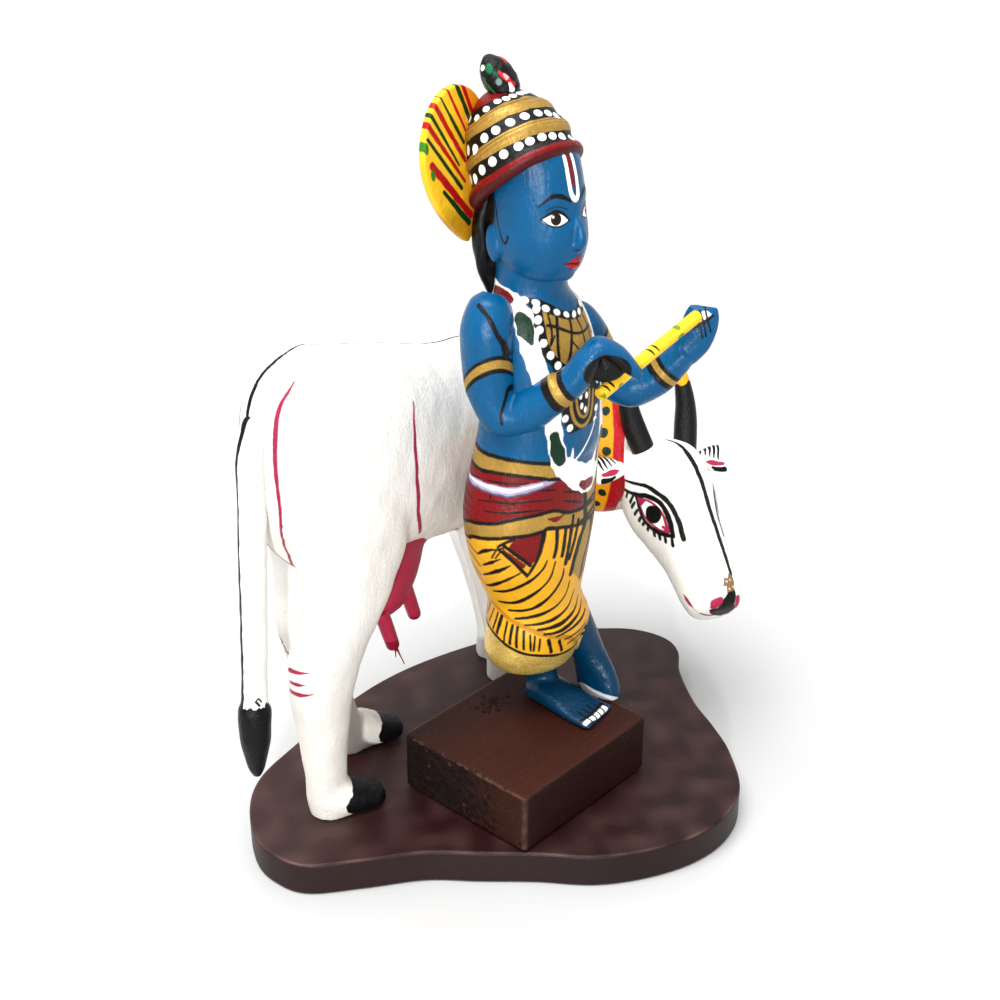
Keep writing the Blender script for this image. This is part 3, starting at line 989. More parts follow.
lips = [ball((-0.5, -7.35, 77.65), (1.65, 0.75, 0.4)), ball((-0.5, -7.25, 76.75), (1.35, 0.8, 0.45)),
        ball((-0.5, -5.4, 75.2), (1.8, 1.5, 1.2))]
wings = [ball((-0.5 + side * 0.85, -7.55, 79.75), (0.55, 0.7, 0.5)) for side in (-1, 1)]
ears = [ball((-0.5 + side * 6.0, 2.6, 79.2), (0.9, 1.5, 2.7), (-12, 0, side * 20)) for side in (-1, 1)]
skull = loft([level((x, y, z), w, d) for x, y, z, w, d in head["rows"]], 120, 150)
points, faces = melt([skull, loft(along(head["nose"], (0, 1, 0)), 48, 60), *lips, *wings, *ears], head["voxel"], 8)
bumps = [((-0.5, -8.4, 81), (0.6, 1, 1.2), 0.06)]
for side in (-1, 1):
    bumps += [((-0.5 + side * 3.1, -6.9, 84.0), (2.0, 1.6, 1.2), -0.42),
        ((-0.5 + side * 3.2, -6.9, 83.9), (1.2, 1.4, 0.8), 0.34),
        ((-0.5 + side * 3.0, -6.9, 86.4), (2.4, 1.6, 0.8), 0.16),
        ((-0.5 + side * 3.6, -6.0, 79.6), (1.8, 1.8, 1.8), 0.22),
        ((-0.5 + side * 6.6, 2.1, 79.2), (0.5, 0.75, 1.5), -0.35),
        ((-0.5 + side * 1.9, -7.2, 77.2), (0.5, 0.8, 0.5), -0.12)]
points = sculpt(points, pointNormals(points, faces), bumps)
makePiece("krishna_head", points, faces, *onFigure, headLook, enamelMaterial, ["krishna_figure"], "blue_paint")

hair = {
    "stops": [((-0.5, 5.4, 86), 4.9, 2.6), ((-0.5, 6.0, 81.5), 6.0, 2.7), ((-0.5, 6.0, 77), 6.1, 2.5),
        ((-0.5, 5.6, 73.4), 5.6, 2.1), ((-0.5, 5.0, 70.6), 4.4, 1.4)],
    "voxel": 0.36,
    "lockDepth": 0.13, "locks": 14,
}


def hairLook(points, normals):
    look = coated(points, paints["black"])
    shine = ripple(points * (1, 1, 0.2), 0.5)
    wash(look, np.clip(shine - 0.3, 0, 0.4), tint("#2c2b2f", 0, 0.3))
    return look


points, faces = melt([loft(along(hair["stops"], (0, 1, 0)), 72, 90)], hair["voxel"])
turn = np.arctan2(points[:, 0] + 0.5, points[:, 1] - 5.8)
lift = hair["lockDepth"] * np.sin(turn * hair["locks"] + np.sin(points[:, 2] * 0.9)) - 0.1
points += pointNormals(points, faces) * lift[:, None]
hairMaterial = paintMaterial("black_paint", {**enamel, "streakStretch": (1, 1, 0.12), "streakHeight": 0.12})
makePiece("krishna_hair", points, faces, *onFigure, hairLook, hairMaterial, ["krishna_figure"], "black_paint", 1)

# Turban

turban = {
    "foot": (-0.6, 1.1, 86.3), "radius": 7.9, "lean": (-0.9, 3.9, 13.6), "rimTilt": 29.0, "rimThickness": 1.15,
    "lines": {
        "rim": [(-180, .06), (-114, .128), (-78, .17), (-56, .218), (-38, .258), (-14, .271), (12, .25),
            (60, .18), (110, .12), (180, .06)],
        "black1": [(-180, .17), (-120, .25), (-82, .318), (-58, .373), (-31, .421), (-8, .409), (20, .37),
            (60, .31), (110, .24), (180, .17)],
        "gold1": [(-180, .27), (-120, .34), (-80, .461), (-54, .549), (-26, .607), (-2, .602), (30, .54),
            (80, .44), (120, .35), (180, .27)],
        "black2": [(-180, .4), (-120, .5), (-79, .614), (-51, .722), (-14, .769), (15, .74), (60, .64),
            (120, .48), (180, .4)],
        "gold2": [(-180, .56), (-111, .66), (-82, .782), (-53, .88), (3, .922), (60, .82), (120, .64), (180, .56)],
        "black3": [(-180, .7), (-120, .78), (-85, .89), (-56, .955), (0, .97), (60, .93), (120, .78), (180, .7)]},
    # the spots seen in front, the step between those behind, their size and the lines they lie between
    "dots": [
        ([(-110, .17), (-94, .218), (-78, .261), (-64, .298), (-47, .336), (-34, .358), (-20, .368),
          (-7, .346), (6, .308), (21, .258)], 15, (2.1, 2.15), ("rim", "black1")),
        ([(-101, .419), (-85, .511), (-69, .574), (-50, .639), (-29, .682), (-8, .687), (8, .652),
          (20, .591)], 18, (2.1, 2.1), ("gold1", "black2")),
        ([(-103, .722), (-88, .812), (-68, .892), (-48, .918), (-26, .94), (4, .95), (28, .945),
          (46, .935)], 24, (1.8, 1.5), ("gold2", "black3"))],
    "height": 14.2, "fullness": 2.3, "roundness": 0.52, "rise": 0.8,
    "bulge": 0.28,  # how far each gold band swells
    "voxel": 0.34,
}
print("turban")


def turbanShape(s):  # radius, tilt and middle at a share of the height
    radius = turban["radius"] * np.maximum(1 - s ** turban["fullness"], 0.02) ** turban["roundness"]
    tilt = math.radians(turban["rimTilt"]) * (1 - s) ** turban["rise"]
    return radius, tilt, np.array(turban["foot"]) + np.outer(s ** turban["rise"], turban["lean"])


share = np.linspace(0, 1, 400)
turbanRadius, turbanTilt, turbanCentre = turbanShape(share)
turbanSteps = np.hypot(np.diff(turbanRadius), np.diff(turban["height"] * share ** turban["rise"]))
turbanRun = np.gradient(np.concatenate([[0], np.cumsum(turbanSteps)]), share)


def turbanChart(points):
    up = np.stack([0 * turbanTilt, np.sin(turbanTilt), np.cos(turbanTilt)], 1)
    height = points @ up.T - (turbanCentre * up).sum(1)
    above = height > 0
    last = np.where(above.any(1), above.shape[1] - 1 - above[:, ::-1].argmax(1), 0)
    s = share[last]
    gap = points - turbanCentre[last]
    back = gap[:, 1] * np.cos(turbanTilt[last]) - gap[:, 2] * np.sin(turbanTilt[last])
    reach = np.hypot(gap[:, 0], back)
    ahead = np.where(last < len(share) - 1, last + 1, last)
    row = np.arange(len(points))
    low, high = height[row, last], height[row, ahead]
    s = s + np.where(ahead > last, (share[1] - share[0]) * np.clip(low / np.maximum(low - high, 1e-9), 0, 1), 0)
    return Chart(np.degrees(np.arctan2(gap[:, 0], -back)), s, np.maximum(reach, 0.3) * figureUnit * math.pi / 180,
        np.minimum(np.interp(s, share, turbanRun), 40) * figureUnit, ripple(points, 0.9))


def turbanLook(points, normals):
    look = coated(points, red)
    chart = turbanChart(points)
    lines = turban["lines"]
    for name, paint in (("black3", "ink"), ("gold2", "gold"), ("black2", "ink"), ("gold1", "gold"),
            ("black1", "ink")):
        band(look, chart, -1, lines[name], paints[paint])
        if paint == "gold":
            for drop, wide, strength in ((0.03, 0.25, 0.7), (0.075, 0.2, 0.5)):
                stroke(look, chart, [(u, v - drop) for u, v in lines[name]], wide, tint("#7d5a20", 0.3, 0.5),
                    strength)
    for row, step, (wide, tall), (low, high) in turban["dots"]:
        first, last = row[0][0], row[-1][0]
        count = round((360 + first - last) / step)
        behind = [last + (360 + first - last) * k / count for k in range(1, count)]
        behind = [(u if u < 180 else u - 360, None) for u in behind]
        for k, (u, v) in enumerate(row + behind):
            middle = (np.interp(u, *np.array(lines[low]).T) + np.interp(u, *np.array(lines[high]).T)) / 2
            dot(look, chart, (u, middle if v is None else v), wide, tall, white, 10 * math.sin(k * 3.3))
    top = (chart.v - np.interp(chart.u, *np.array(lines["rim"]).T)) * chart.vScale
    region(look, -0.3 - top + 0.06 * chart.wobble, red)
    region(look, -2.0 - top + 0.1 * chart.wobble, tint("#5d1518", 0, 0.45))
    return look


def turbanPoint(turn, s, grow=0.0):
    radius, tilt, centre = turbanShape(s)
    x, back = np.sin(turn) * (radius + grow), -np.cos(turn) * (radius + grow)
    return centre + np.stack([x, back * np.cos(tilt), -back * np.sin(tilt)], 1)


sides, rows = 144, 90
turn = np.linspace(-math.pi, math.pi, sides, endpoint=False)
lowest = np.interp(np.degrees(turn), *np.array(turban["lines"]["rim"]).T)
points = np.vstack(
    [turbanPoint(turn, np.maximum(lowest - 0.1, 0) * (1 - t) + 0.9995 * t) for t in np.linspace(0, 1, rows)] +
    [turbanPoint(np.zeros(1), np.ones(1), -9), np.array([turban["foot"]]) + (0, 0, 4.5)])
row, side = np.meshgrid(np.arange(rows - 1), np.arange(sides), indexing="ij")
a, b = row * sides + side, row * sides + (side + 1) % sides
i = np.arange(sides)
following, last = (i + 1) % sides, (rows - 1) * sides
faces = np.concatenate([np.stack(f, -1).reshape(-1, 3) for f in (
    (a, b, b + sides), (a, b + sides, a + sides), (i + last, following + last, np.full(sides, rows * sides)),
    (following, i, np.full(sides, rows * sides + 1)))])
points[rows * sides] = points[last:rows * sides].mean(0)
dome = outward(points, faces)
path = turbanPoint(turn, np.maximum(lowest - 0.073, 0.004), -0.25)
run = unit(np.roll(path, -1, 0) - np.roll(path, 1, 0))
away = unit(path - path.mean(0))
away = unit(away - run * np.einsum("ij,ij->i", away, run)[:, None])
upward = np.cross(run, away)
around = np.linspace(0, 2 * math.pi, 25)[:-1]
c, s = np.cos(around)[None, :, None], np.sin(around)[None, :, None]
ringPoints = (path[:, None] + turban["rimThickness"] * (away[:, None] * c + upward[:, None] * s)).reshape(-1, 3)
i, j = np.meshgrid(np.arange(sides), np.arange(24), indexing="ij")
a, b = i * 24 + j, ((i + 1) % sides) * 24 + j
c, d = ((i + 1) % sides) * 24 + (j + 1) % 24, i * 24 + (j + 1) % 24
rim = outward(ringPoints, np.concatenate([np.stack(f, -1).reshape(-1, 3) for f in ((a, b, c), (a, c, d))]))
points, faces = melt([dome, rim], turban["voxel"], 4)
chart = turbanChart(points)
swell = np.zeros(len(points))
for low, high in (("black1", "gold1"), ("black2", "gold2")):
    a, b = (np.interp(chart.u, *np.array(turban["lines"][name]).T) for name in (low, high))
    swell += turban["bulge"] * np.sin(np.clip((chart.v - a) / (b - a), 0, 1) * math.pi) ** 0.7
points = points + pointNormals(points, faces) * swell[:, None]
redMaterial = paintMaterial("crimson_paint", enamel)
makePiece("krishna_turban", points, faces, *onFigure, turbanLook, redMaterial, ["krishna_figure"], "crimson_paint")

# Peacock fan and tuft behind and on the turban

fan = {
    "centre": (-7.3, 8.2, 89.7), "reach": 17.75, "thickness": 1.8, "edge": 0.4,
    "across": (0.989, 0.104, 0.1045), "up": (-0.104, -0.011, 0.9945),
    "red": [([(2.0, 17.0), (5.7, 7.9)], (1.1, 0.9)), ([(-3.2, 17.4), (2.8, 5.2)], (0.6, 0.7, 0.5)),
        ([(-8.1, 15.8), (0.1, 2.1), (1.0, 0.7)], (1.1, 1.1, 0.4)), ([(-11.0, 12.4), (0.3, -3.9)], (1.1, 0.9, 0.7)),
        ([(-10.6, 3.2), (1.4, -12.2)], (1.5, 1.6, 1.5))],
    "green": [([(0.1, 17.4), (4.4, 7.0)], (1.1, 1.0)), ([(-5.8, 16.6), (0.9, 4.8)], (0.4, 0.8, 0.8)),
        ([(-9.9, 14.6), (-1.3, 0.3)], (0.8, 0.7, 0.5)), ([(-11.3, 9.2), (-1.0, -5.1)], (0.7, 0.8, 0.9)),
        ([(-7.3, -3.8), (0.6, -13.6)], (0.8, 1.2, 1.3)), ([(8.6, 13.7), (9.3, 10.5)], (0.7, 0.9))],
    "voxel": 0.32,
}
print("fan and tuft")
fanCentre = figurePlace(np.array([fan["centre"]]))[0]
fanWays = np.array([fan["across"], fan["up"]], float)
fanFront = np.cross(*fanWays)


def fanLook(points, normals):
    look = coated(points, paints["yellow"])
    gap = points - fanCentre
    front = normals @ fanFront
    u, v = (gap @ way for way in fanWays)
    for face in (1, -1):
        use = front * face > -0.3
        chart = Chart(np.where(use, u, 99.0), v, 1.0, 1.0, ripple(points, 1.4))
        wash(look, np.clip((u + 2) / 9, 0, 0.75) * use, tint("#e8941a", 0, 0.4))
        wash(look, np.clip((-7 - v) / 7, 0, 0.6) * use, tint("#b5801f", 0.1, 0.4))
        for name, code in (("red", "#b81f28"), ("green", "#154a25")):
            for path, wide in fan[name]:
                stroke(look, chart, path, wide, tint(code, 0, 0.34))
        for place in ((-12.0, 7.4), (-10.5, 1.0)):
            dot(look, chart, place, 1.5, 2.9, tint("#4c8a2a", 0, 0.36), 10, 0.85)
        if face == 1:
            patch(look, chart, [(8.6, 14.9), (13, 15.5), (15.5, 12), (9.6, 10.6), (9.6, 12.6)],
                tint("#e9d9b8", 0, 0.5), 0.9)
    return look


def curve3(a, b, c, d, count=24):
    t = np.linspace(0, 1, count, endpoint=False)[:, None]
    a, b, c, d = (np.array(p, float) for p in (a, b, c, d))
    return (1 - t) ** 3 * a + 3 * (1 - t) ** 2 * t * b + 3 * (1 - t) * t * t * c + t ** 3 * d


def plate(outline, depths):  # closed plate from (inset, height) rings of an outline
    outline = np.asarray(outline, float)
    n = len(outline)
    way = unit(np.roll(outline, -1, 0) - np.roll(outline, 1, 0))
    out = np.stack([way[:, 1], -way[:, 0]], 1)
    area = (outline[:, 0] * np.roll(outline[:, 1], -1) - np.roll(outline[:, 0], -1) * outline[:, 1]).sum()
    out = out if area > 0 else -out
    rings = [np.hstack([outline + out * grow, np.full((n, 1), z)]) for grow, z in depths]
    middle = outline.mean(0)
    points = np.vstack(rings + [np.array([[*middle, depths[0][1]], [*middle, depths[-1][1]]])])
    i = np.arange(n)
    j = (i + 1) % n
    faces = []
    for k in range(len(depths) - 1):
        a, b = k * n, (k + 1) * n
        faces += [np.stack([i + a, j + a, j + b], 1), np.stack([i + a, j + b, i + b], 1)]
    end = (len(depths) - 1) * n
    faces += [np.stack([j, i, np.full(n, len(points) - 2)], 1),
        np.stack([i + end, j + end, np.full(n, len(points) - 1)], 1)]
    return outward(points, np.concatenate(faces))


def roundedDepths(thickness, edge, steps=6):
    turn = np.linspace(0, math.pi / 2, steps)
    low = [(edge * math.sin(a), edge * (1 - math.cos(a))) for a in turn]
    return low + [(grow, thickness - z) for grow, z in low[::-1]]


h = fan["reach"]
outline = np.vstack([
    curve3((0, -h), (-0.34 * h, -0.72 * h), (-0.86 * h, -0.1 * h), (-0.66 * h, 0.5 * h)),
    curve3((-0.66 * h, 0.5 * h), (-0.52 * h, 0.94 * h), (-0.1 * h, 1.12 * h), (0.26 * h, 0.86 * h)),
    curve3((0.26 * h, 0.86 * h), (0.74 * h, 0.5 * h), (0.62 * h, -0.6 * h), (0, -h))])
points, faces = plate(outline, roundedDepths(fan["thickness"], fan["edge"]))
points[:, 2] -= fan["thickness"] / 2
points = fanCentre + points[:, :1] * fanWays[0] + points[:, 1:2] * fanWays[1] - points[:, 2:] * fanFront
yellowMaterial = paintMaterial("fan_yellow", enamel)
makePiece("crest_fan_painted", *melt([outward(points, faces)], fan["voxel"], 3), *onBoard, fanLook, yellowMaterial,
    ["crest_fan"], "yellow_paint")

tuft = {"foot": (-0.9, 4.4, 98.7), "lean": (-0.36, 0.4, 0.84), "height": 10.2, "voxel": 0.22,
        "radii": [(0, 2.5), (0.12, 3.2), (0.3, 3.65), (0.5, 3.7), (0.7, 3.2), (0.86, 2.3), (0.96, 1.2), (1, 0.5)]}
tuftFoot, tuftLean = figurePlace(np.array([tuft["foot"]]))[0], unit(np.array(tuft["lean"]))
tuftSide = unit(np.cross(tuftLean, (0, 1, 0)))
tuftBack = np.cross(tuftLean, tuftSide)


def tuftLook(points, normals):
    look = coated(points, tint("#0d1411", 0, 0.22))
    gap = points - tuftFoot
    chart = Chart(np.degrees(np.arctan2(gap @ tuftSide, gap @ tuftBack)), gap @ tuftLean,
        np.maximum(np.hypot(gap @ tuftSide, gap @ tuftBack), 0.5) * math.pi / 180, 1.0, 2.2 * ripple(points, 1.0))
    leaf, scarlet = tint("#177a52", 0, 0.2), tint("#c8323c", 0, 0.25)
    dot(look, chart, (52, 7.9), 1.8, 1.9, leaf)
    stroke(look, chart, [(92, 6.6), (88, 5.0), (80, 3.0)], (0.5, 0.9, 0.4), leaf, 0.8)
    stroke(look, chart, [(40, 6.6), (36, 5.2)], (0.7, 0.3), tint("#1f6b4e", 0, 0.25), 0.7)
    dot(look, chart, (88, 8.6), 1.3, 1.0, white)
    dot(look, chart, (44, 4.6), 1.3, 1.5, tint("#8b9a9c", 0, 0.3), 20, 0.7)
    dot(look, chart, (-42, 7.3), 1.5, 2.0, scarlet, 20)
    stroke(look, chart, [(26, 6.2), (18, 4.9), (12, 3.6), (6, 2.3)], (0.6, 1.1, 0.7, 1.3), scarlet)
    stroke(look, chart, [(16, 5.2), (14, 4.4)], (0.5, 0.7), tint("#e9b4b6", 0, 0.3), 0.8)
    stroke(look, chart, [(14, 2.8), (15, 1.6)], (0.7, 1.2), white, 0.9)
    for turn in (150, -120):  # the far sides carry the same dabs
        dot(look, chart, (turn, 7.2), 1.7, 1.8, leaf)
        stroke(look, chart, [(turn - 22, 5.6), (turn - 16, 3.4)], (0.6, 1.1, 0.7), scarlet)
    return look


stops = [(tuftFoot + tuftLean * tuft["height"] * t, r, r) for t, r in tuft["radii"]]
points, faces = melt([loft(along(stops, (0, 1, 0)), 64, 80)], tuft["voxel"], 3)
points = points + pointNormals(points, faces) * (0.12 * ripple(points, 1.1))[:, None]
makePiece("crest_tuft_painted", points, faces, *onBoard, tuftLook,
    paintMaterial("dark_green_paint", {**enamel, "coat": 0.12, "grainHeight": 0.16}), ["crest_tuft"],
    "dark_green_paint")

# Cow, in millimetres along, to the left and up

cow = {
    "trunk": [(-60.5, 101, 0.8, 5), (-59.5, 100, 3, 10.5), (-56, 97.8, 7, 18), (-50, 95, 11.5, 24.4),
        (-42, 92.5, 16.6, 28.5), (-32, 90, 18.4, 28), (-20, 87.6, 18.6, 26.9), (-4, 82.6, 18, 26.4),
        (10, 78.6, 17.5, 25.9), (22, 75.2, 16.8, 27.2), (31, 72.5, 15, 26.5), (38, 71, 12, 22)],
    "neck": [((26, 0, 74), 13, 24), ((37, -1, 71.5), 12.5, 21.5), ((48, -6, 66), 11.5, 20.4),
        ((56, -15, 62), 10.5, 18.4), ((59.5, -25, 59.2), 10, 16.6), ((59.5, -32, 59), 9, 13)],
    "poll": (60.5, -42, 69.5), "down": (-0.48, -0.621, -0.619), "side": (0.837, -0.537, -0.109),
    "head": [(-2.5, -11, 5, 4.5), (-1, -11, 9, 8), (4, -10.5, 11.8, 11.8), (11, -10.8, 12, 13.4),
        (18.5, -10.5, 11.2, 12.8), (27, -9, 9.4, 10.5), (35, -7.6, 8.4, 8.6), (43, -7, 8, 7.8),
        (47.5, -6.8, 6.8, 6.4), (49.3, -6.6, 4, 3.8)],
    "legs": [[(-38, -6, 99, 9, 4), (-38, -8, 92, 18, 8), (-38, -9, 80, 19.5, 9.5), (-37.5, -9.2, 70, 17, 9.2),
        (-39, -8.7, 61, 13.5, 8.4), (-42, -7, 52, 13, 8), (-44.5, -5.5, 45, 11.6, 7.6), (-46, -4.5, 35, 9, 6.8),
        (-46, -4, 24, 6.8, 6), (-46, -4, 12, 5.4, 5), (-45.5, -4.2, 3, 5.4, 5.2), (-45, -4.5, -1, 5.6, 5.4)],
        [(-36, 6, 99, 9, 4), (-36, 8, 92, 16, 8), (-34, 9.5, 80, 15, 9), (-31, 10, 68, 11, 8.6),
        (-31, 10, 57, 9.6, 8), (-32.5, 10, 49, 8.8, 7.6), (-33.5, 9.8, 43.5, 7.9, 7), (-32, 9.2, 33, 6.6, 6.2),
        (-28, 8.8, 20, 5.8, 5.6), (-23.5, 8.4, 8, 5.4, 5.2), (-20.5, 8, -1, 5.6, 5)],
        [(20, -5.5, 82, 7, 4), (20, -7, 75, 12, 8.5), (20, -8.5, 62, 11.5, 8.6), (21.5, -9, 50, 9.5, 7.8),
        (24, -9, 38, 7.6, 6.8), (27, -9, 25, 6.2, 5.8), (29.5, -9, 10, 5.4, 5), (30, -9, -1, 5.6, 5.2)],
        [(27, 5.5, 82, 7, 4), (27, 7, 75, 12, 8.5), (30, 7.5, 62, 11, 8.2), (33, 6.5, 50, 9, 7.4),
        (35, 4, 38, 7.4, 6.6), (37, 2, 25, 6.2, 5.8), (38.5, 0.2, 10, 5.4, 5), (38.5, 0, -1, 5.6, 5.2)]],
    "feet": [((-48, -4), (-35.5, -13), 9, 0), ((-21, 8), (-9.5, 0), 9, 1.8), ((29, -9), (40, -13), 8.5, 0),
        ((37.5, 0), (47.5, -4.5), 8.5, 0)],  # heel, toe, height and how far the black is held back
    "udder": [(-18, 0, 43.6, 8.6, 6.8), (-16.5, 0, 49, 10.6, 8.4), (-14.5, 0, 55.5, 11.8, 9), (-14, 0, 62, 12.5, 9),
        (-22, 0, 68, 9, 7)],
    "voxel": 0.95, "finest": 0.31,
    "lumps": 0.16,
    "thigh": [(-50.3, -5.2, 116.4), (-52.5, -5.2, 114.8), (-54.7, -4.9, 112.8), (-56.4, -4.8, 109.7),
        (-57.5, -5, 105.5), (-57.9, -4.9, 100.9), (-57.8, -4.9, 94.9), (-57.1, -4.7, 88.4), (-55.3, -3.5, 81.1),
        (-52.9, -2.6, 75.4), (-47.9, 0.2, 68.6)],
    "flank": [(-21.4, -15.5, 103.5), (-23, -16.7, 100.4), (-24, -17.6, 96.9), (-24.8, -18.3, 93.3),
        (-24.7, -18.3, 89.1), (-24.5, -18.3, 84.9), (-23.4, -17.7, 80), (-21.5, -16.5, 74.6), (-16.6, -13.1, 67.2)],
    "spine": [(-60.5, 0.4, 106), (-58.6, 0.8, 111.5), (-56.2, 0.9, 114.8), (-53, 1, 117.5), (-48.3, 0.4, 119.9),
        (-44.9, -0.2, 120.4), (-38, -0.4, 120), (-30, 0, 117.6), (-20, 0, 114.5), (-4, 0, 109), (10, 0, 104.5),
        (22, 0, 102.4), (31, -0.4, 98), (37, -1, 93), (48, -6, 86.4), (56, -15, 80.4), (59.5, -25, 75.8),
        (59.8, -32, 72.5)],
    "specks": 34,
}
print("cow")
headPoll = np.array(cow["poll"])
headDown, headSide = unit(np.array(cow["down"])), unit(np.array(cow["side"]))
headFace = unit(np.cross(headDown, headSide))
pink = tint("#a93a5b", 0, 0.45, 0.4)


def onHead(down, side, out):
    return headPoll + headDown * down + headSide * side + headFace * out


eye = {
    "upper": [(-102.8, 6.1), (-89.9, 9.4), (-72.3, 12.7), (-58.5, 14.7), (-47.2, 17.6), (-44.1, 20.5),
        (-46.8, 24.6), (-52.8, 27.6)],
    "lower": [(-75.6, 12.6), (-77.7, 15.4), (-81.7, 19.4), (-78.5, 22.4), (-67.7, 25.4), (-52.8, 27.6)],
    "inner": [(-73.6, 13.4), (-67.1, 14.6), (-57.4, 16.6), (-51.2, 19.0), (-50.4, 21.6), (-53, 24.6), (-55.8, 26.2),
        (-67, 24.2), (-73, 22), (-77, 19.6), (-75.6, 16.7), (-73.6, 13.4)],
    "iris": (-62.6, 19.8), "irisSize": 5.0, "tear": (-59.6, 24.1),
    "brow": [(-94.2, 5.1), (-71.2, 9.3), (-55, 12), (-45.1, 15.1), (-36.8, 18.5), (-34.4, 22.9), (-36.4, 26.5),
        (-39.7, 29.6)],
    "lashes": [((-86.1, 10.3), (-93.8, 10.9)), ((-80.1, 12.3), (-90.7, 12.9)), ((-82.3, 14), (-92.6, 14.3)),
        ((-84, 16.2), (-93.4, 16.4)), ((-84, 18.3), (-91.8, 18.6)), ((-82, 20), (-90.2, 20.2)),
        ((-79.5, 21.5), (-87.1, 22.1)), ((-76.7, 23.2), (-81.9, 24.6)), ((-71.4, 25), (-76, 26.3)),
        ((-64.7, 26.4), (-68.9, 27.9)), ((-56.5, 28.2), (-60.5, 29.8))],
    "midline": [(2, -0.6), (4, 0.2), (8, 3.1), (10.4, 7.4), (13.3, 11.3), (14.3, 17.1), (15.5, 22.8), (18.9, 28.3),
        (22.4, 33.4), (24, 38.6), (22.6, 41.4)],
}


def paintCowHead(look, points, normals):
    q = points - headPoll
    down, side, out = q @ headDown, q @ headSide, q @ headFace
    rows = np.array(cow["head"])
    centre, wide, deep = (np.interp(down, rows[:, 0], rows[:, k]) for k in (1, 2, 3))
    size = np.hypot(side / wide, (out - centre) / deep)
    near = (down > -2.2) & (down < 49.6) & (size < 1.25)
    turn = np.where(near, np.degrees(np.arctan2(side, out - centre)), 999.0)
    reach = np.hypot(side, out - centre) * math.pi / 180
    ripples = ripple(points, 1.4)
    for flip in (1, -1):
        chart = Chart(turn * flip, down, reach, 1.0, ripples)
        ring = eye["upper"][2:] + eye["lower"][-2::-1]
        patch(look, chart, ring, white, rounded=False)
        stroke(look, chart, eye["inner"], 0.6, pink)
        patch(look, chart, [(-73.5, 13.4), (-67, 14.4), (-61, 15.5), (-67, 15.9), (-72.5, 16.0), (-75.2, 15.4)],
            pink)
        patch(look, chart, [(-51.8, 21.2), (-50.6, 24), (-54.5, 26.4), (-61, 25), (-55.6, 23.8)], pink)
        dot(look, chart, eye["iris"], eye["irisSize"], eye["irisSize"], ink)
        dot(look, chart, eye["tear"], 0.95, 0.95, pink)
        stroke(look, chart, eye["upper"], (0.4, 0.8, 1.15, 1.2, 1.25, 1.3, 1.2), ink)
        stroke(look, chart, eye["lower"], (0.7, 1.0, 1.15, 1.15, 1.0), ink)
        stroke(look, chart, eye["brow"], (0.4, 0.8, 1.05, 1.15, 1.2, 1.2, 1.2), ink)
        for first, last in eye["lashes"]:
            stroke(look, chart, [first, last], (0.8, 0.95), ink)
    chart = Chart(turn, down, reach, 1.0, ripples)
    stroke(look, chart, eye["midline"], (0.5, 1.0, 1.5, 1.5, 1.45, 1.4, 1.3, 1.1), ink)
    # the muzzle: a worn patch, the black pad, nostrils and mouth
    tip = Chart(np.where(near & (down > 38) & (normals @ (headDown + headFace) > 0), side, 999.0),
        (down - out) * 0.707, 1.0, 1.0, ripples)
    patch(look, chart, [(-4.5, 44.6), (3, 42.2), (10, 42.6), (16, 41.2), (24, 41.6), (25.5, 43.6), (22, 46.2),
        (2, 46.4), (3, 44.6)], tint("#8d765c", 0, 0.75, -1.5), rounded=False)
    for centre in ((6, 43.4), (15, 43.1), (20, 44.9), (9, 45.4)):
        dot(look, chart, centre, 0.8, 0.5, tint("#d8cdb9", 0, 0.7, -0.5), 30, 0.8)
    patch(look, tip, [(0.5, 32.6), (3.0, 32.4), (3.1, 33.8), (2.8, 36), (4.1, 38.2), (1.5, 40.6), (-1.3, 40),
        (-3, 38.9), (-4.3, 37.2), (-2.3, 36.6), (-1.1, 34.1)], ink, rounded=False)
    patch(look, tip, [(-4.3, 36.4), (-4.3, 34.6), (-3.2, 33.8), (-1.6, 33.4), (-1.1, 34.4), (-2.2, 36.4),
        (-3.6, 37)], pink)
    patch(look, tip, [(3.1, 33.8), (4.5, 34.1), (4.9, 36), (5.3, 38), (3.8, 37.8), (2.9, 36)], pink)
    for flip in (1, -1):
        for path, wide, paint in (
                ([(42.6, -7.9, -6.9), (44.9, -7.5, -6.4), (46.6, -6.9, -6.1)], (0.35, 1.1, 1.0, 0.3), pink),
                ([(46.6, -6.9, -6.3), (47.8, -6.2, -6.4), (48.9, -4.6, -6.6)], 0.35, tint("#c9c3b8", 0, 0.6, -1.5)),
                ([(48.5, -5.4, -6.2), (49.2, -3.2, -6.8), (49.4, -1.4, -7.4)], (0.5, 0.9, 0.6), pink)):
            wire(look, points, normals, [onHead(a, b * flip, c) for a, b, c in path], wide, paint, 1.0)


